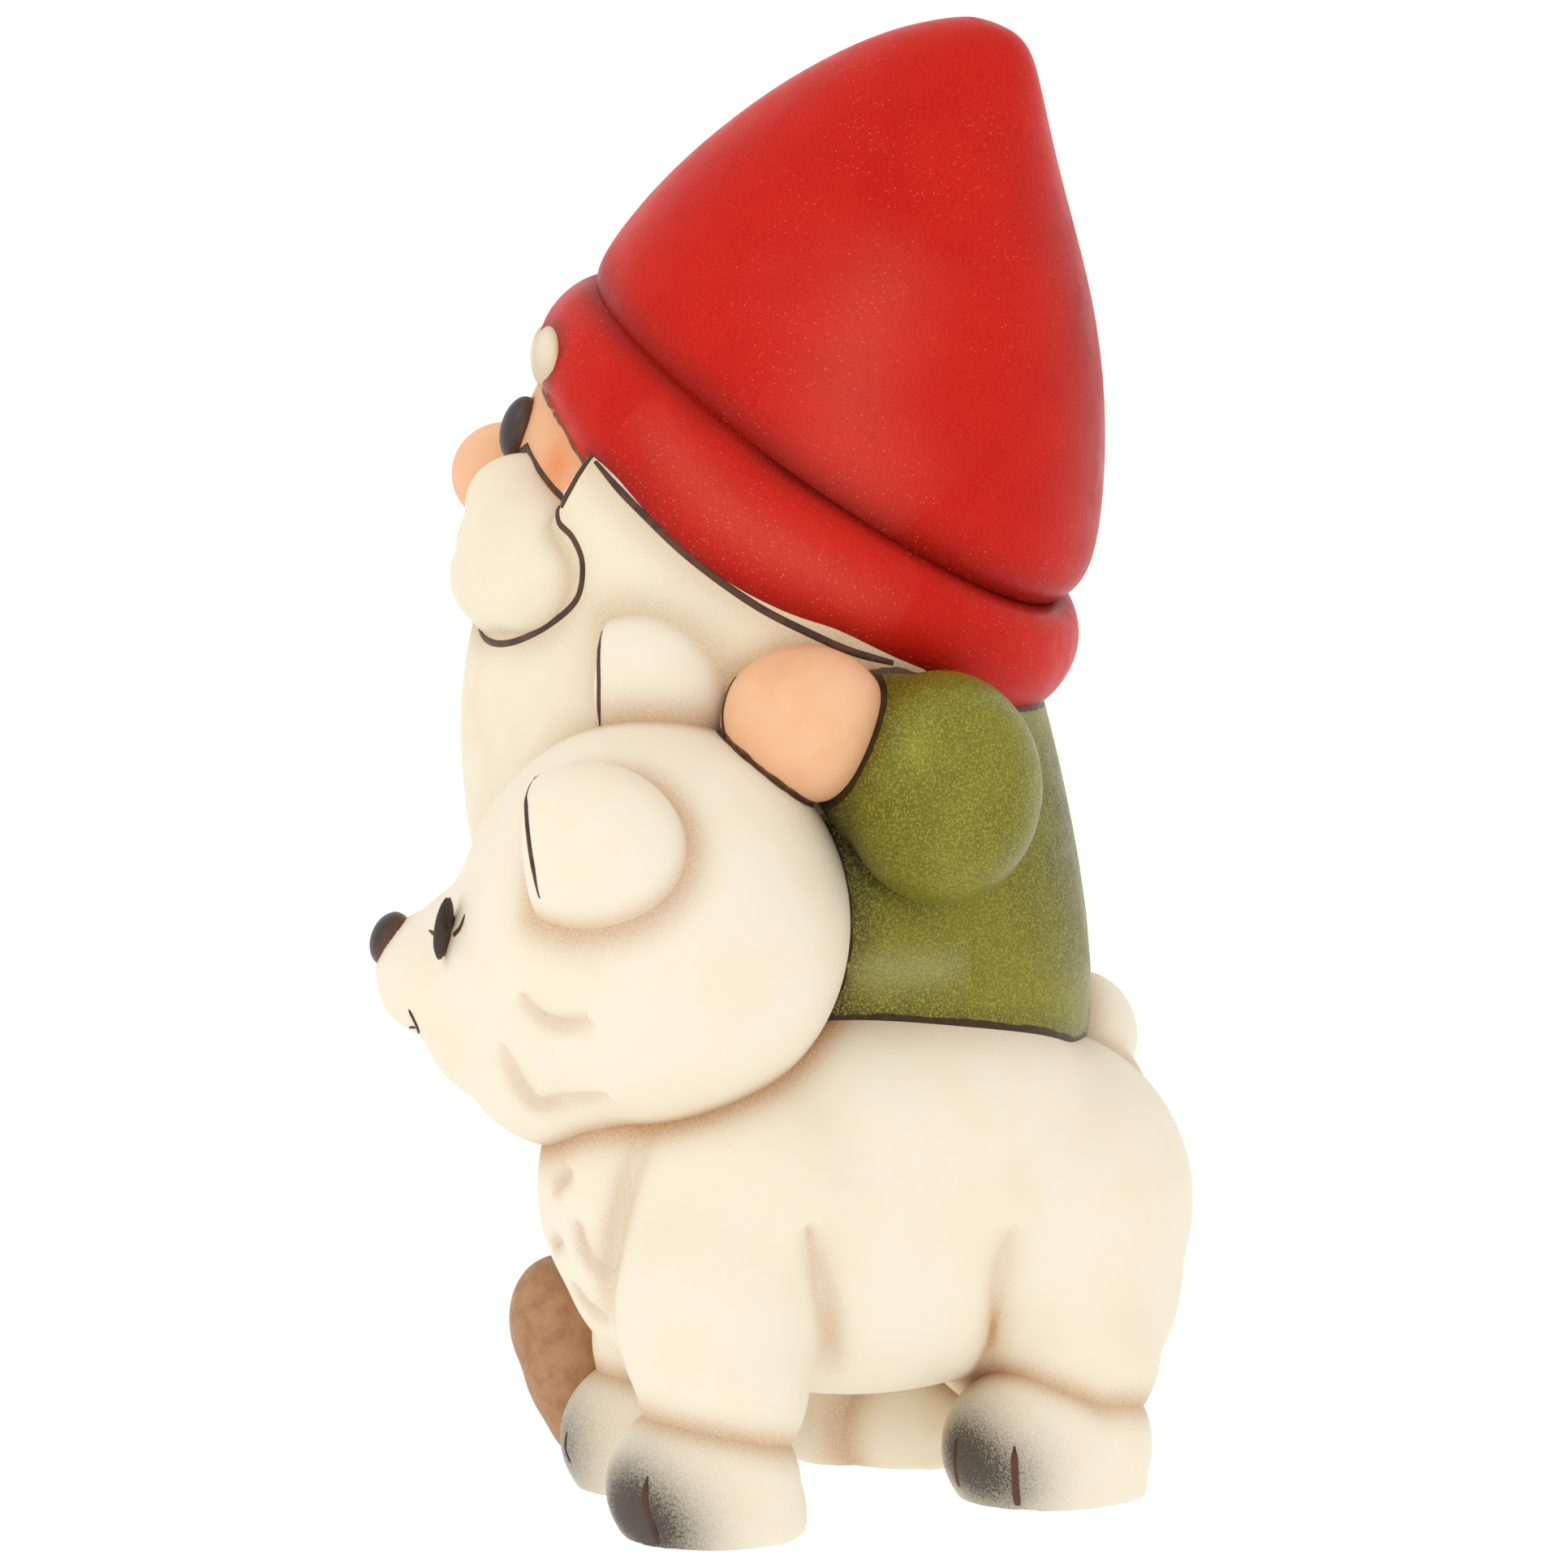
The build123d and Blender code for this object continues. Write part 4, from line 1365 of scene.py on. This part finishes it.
def paint(pieces: dict[str, bpy.types.Object]) -> None:
    """Paints every piece: soft painted shade in the joins, outlines along them, the coloured spots, and
    painted highlights and shade on the hat and the coat.

    Args:
        pieces: every piece, by the name of the casting that it stands for.
    """
    painter = Painter(pieces)
    body, skull = FoxBody(), FoxHead()
    moustache = ("gnome_moustache_left", "gnome_moustache_right")
    hat = ("hat_brim", "hat_crown")
    # the soft bands along the joins are airbrush and painted shade
    painted: dict[str, tuple[list[Join], list[Spray]]] = {
        "hat_crown": (
            # painted dark wine shade in the crease under the brim
            [Join(("hat_brim",), soft=3.6, strength=0.6)],
            [
                # painted highlight: lighter red and thicker mica where the crown faces the lamp
                Spray(
                    ((25.0, 21.0, 163.0), (31.7, 16.3, 149.2), (33.0, 15.4, 138.0), (28.3, 23.8, 127.6)),
                    8.0, 0.3, Layer.SPOT,
                ),
                # painted shade down the crown's far side
                Spray(
                    ((-1.0, 34.6, 168.0), (1.1, 38.4, 150.1), (1.5, 39.6, 133.5), (-3.6, 37.5, 118.4)),
                    9.0, 0.4,
                ),
            ],
        ),
        "hat_brim": (
            [
                # painted shade in the crease above the roll and under its lower edge
                Join(("hat_crown",), soft=2.2, strength=0.6),
                Join(("gnome_beard", "gnome_coat", "gnome_forelock"), 0.0, 1.4, 0.5),
            ],
            [
                # painted highlight along the top of the roll
                Spray(
                    ((32.6, -13.0, 140.7), (36.9, -1.2, 129.0), (35.4, 11.0, 121.0), (29.5, 22.0, 114.6)),
                    3.4, 0.35, Layer.SPOT,
                ),
            ],
        ),
        "gnome_forelock": ([Join(("hat_brim",), 0.0, 0.8, 0.5)], []),
        "gnome_head": (
            [
                Join(("hat_brim",), 0.35, 1.5, 0.3),
                Join(moustache, 0.0, 1.2, 0.25),
                Join(("gnome_beard",), 0.3, 1.5, 0.25),
                Join(("gnome_eye_left", "gnome_eye_right"), 0.35, 1.2, 0.3),
            ],
            [
                Spray([(side * 25.0, -25.2, 132.5)], 3.4, 0.75, Layer.SPOT)
                for side in (1, -1)
            ],
        ),
        "gnome_nose": (
            [Join(moustache, 0.3, 1.2, 0.3)],
            [Spray([(0.0, -47.0, 128.0)], 4.0, 0.35, Layer.SPOT)],
        ),
        "gnome_beard": (
            [
                Join(hat, 0.0, 2.4, 0.4),
                Join(moustache, 0.0, 2.6, 0.45),
                Join(("gnome_hand_left", "gnome_hand_right"), 0.0, 2.0, 0.35),
                Join(("fox_ear_right", "fox_head"), 0.0, 3.0, 0.4),
                Join(("gnome_coat", "gnome_sleeve_left", "gnome_sleeve_right"), 0.8, 2.0, 0.4),
            ],
            [],
        ),
        "gnome_coat": (
            [
                Join(("fox_torso",), 0.7, 2.2, 0.5),
                Join(("fox_head",), 0.5, 3.0, 0.7),
                # painted shadow under the sleeves
                Join(("gnome_sleeve_left", "gnome_sleeve_right"), 0.0, 2.4, 0.85),
                # painted grey-green sheen near the brim
                Join(("hat_brim",), 0.6, 4.0, 0.5, Layer.SPOT),
                Join(("fox_tail",), 0.8, 2.0, 0.5),
            ],
            [
                # painted grey-green highlight band above the hem
                Spray(((31.0, 14.0, 69.4), (27.5, 21.6, 69.6), (22.0, 28.6, 69.8)), 2.6, 0.8, Layer.SPOT),
                # painted shade down the coat's far side
                Spray(((-0.4, 36.3, 98.0), (-0.4, 36.5, 81.8), (4.0, 37.8, 64.0)), 11.0, 0.55),
            ],
        ),
        "gnome_sleeve_left": (
            [
                Join(("gnome_hand_left",), 1.0, 3.0, 0.5),
                Join(("fox_head",), 0.5, 4.0, 0.7),
                # painted grey-green sheen near the brim
                Join(("hat_brim",), 0.5, 4.0, 0.5, Layer.SPOT),
                Join(("gnome_coat", "gnome_beard"), 0.0, 3.0, 0.5),
            ],
            [],
        ),
        "gnome_sleeve_right": ([Join(("gnome_hand_right", "gnome_beard"), 0.9, 3.0, 0.6)], []),
        "gnome_hand_left": ([Join(("fox_head", "fox_ear_right"), 0.8, 1.5, 0.2)], []),
        "gnome_hand_right": ([Join(("gnome_beard", "gnome_coat"), 0.8, 1.5, 0.2)], []),
        "fox_torso": (
            [
                Join(("fox_head",), 0.0, 2.6, 0.75),
                Join(("gnome_coat",), 0.0, 3.0, 0.25),
                Join(tuple(f"fox_paw_{name}" for name in body.paws), 0.0, 2.0, 0.6),
                Join(("fox_tail",), 0.0, 3.0, 0.5),
            ],
            in_creases(body.creases),
        ),
        "fox_head": (
            [
                Join(("fox_ear_left", "fox_ear_right"), 0.0, 2.6, 0.6),
                Join(("fox_torso",), 0.0, 2.0, 0.5),
                Join(("gnome_hand_left",), 0.5, 0.0, 0.0),
                Join(("fox_eye_left", "fox_eye_right", "fox_nose"), 0.2, 1.0, 0.3),
            ],
            in_creases(skull.creases),
        ),
        "fox_ear_left": ([Join(("fox_head",), 0.0, 2.0, 0.4)], []),
        "fox_ear_right": ([Join(("fox_head",), 0.0, 3.0, 0.6), Join(("gnome_beard",), 0.0, 1.2, 0.3)], []),
        "fox_tail": ([Join(("fox_torso", "gnome_coat"), 0.0, 2.5, 0.5)], []),
        "fox_nose": ([Join(("fox_head",), 0.0, 0.8, 0.8)], []),
    }
    for side in ("left", "right"):
        painted[f"gnome_moustache_{side}"] = ([Join(("gnome_beard", "gnome_nose"), 0.0, 1.0, 0.3)], [])
        painted[f"gnome_boot_{side}"] = ([], [])
        painted[f"gnome_trouser_leg_{side}"] = ([Join((f"gnome_boot_{side}",), 0.8, 2.5, 0.6)], [])
        painted[f"gnome_eye_{side}"] = ([Join(("gnome_head",), 0.0, 0.6, 0.9)], [])
        painted[f"fox_eye_{side}"] = ([Join(("fox_head",), 0.0, 0.4, 0.8)], [])
    soot = {
        "front_left": [((56.0, -8.0, 5.0), 7.0, 1.0), ((57.6, -2.0, 2.0), 7.0, 0.7)],
        "front_right": [((26.6, -24.2, 6.0), 7.5, 0.75)],
        "hind_left": [((21.5, 27.0, 7.0), 6.5, 1.0), ((24.5, 33.5, 4.0), 6.5, 0.7)],
        "hind_right": [],
    }
    for name, puffs in soot.items():
        painted[f"fox_paw_{name}"] = (
            [Join(("fox_torso",), 0.0, 2.0, 0.6)],
            [Spray([place], width, strength, Layer.SPOT) for place, width, strength in puffs],
        )
    for node, (joins, sprays) in painted.items():
        painter.paint(node, joins, sprays)


def main() -> None:
    """Builds the figurine, dresses it and sets up the studio."""
    logging.basicConfig(level=logging.INFO, format="%(name)s: %(message)s")
    studio = Studio()
    studio.camera()
    pieces: dict[str, bpy.types.Object] = {}
    for part in (Hat(), GnomeHead(), GnomeBody(), FoxBody(), FoxHead()):
        pieces.update(part.build())
    paint(pieces)
    finishes = {finish: finish.value.mixed() for finish in Finishes}
    for node, piece in pieces.items():
        finish = finish_of(node)
        piece.data.materials.clear()
        piece.data.materials.append(finishes[finish])
        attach(piece, "root")
        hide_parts(*STANDS_FOR.get(node, (node,)))
        log.info("%s: %d faces", piece.name, len(piece.data.polygons))
    for name, lines, on, slot in (
        ("fox_brush_lines", LINES, LINED, "fox_cream"),
        ("beard_brush_lines", both_sides(BEARD_LINES), ("gnome_beard",), "beard_cream"),
        ("face_brush_lines", both_sides(FACE_LINES), ("gnome_head",), "skin"),
    ):
        strokes = lay_strokes(name, lines, [pieces[node] for node in on])
        strokes.data.materials.append(finishes[Finishes.LINE])
        only(strokes)
        bpy.ops.object.shade_smooth()
        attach(strokes, "root")
    studio.light()


if __name__ == "__main__":
    main()
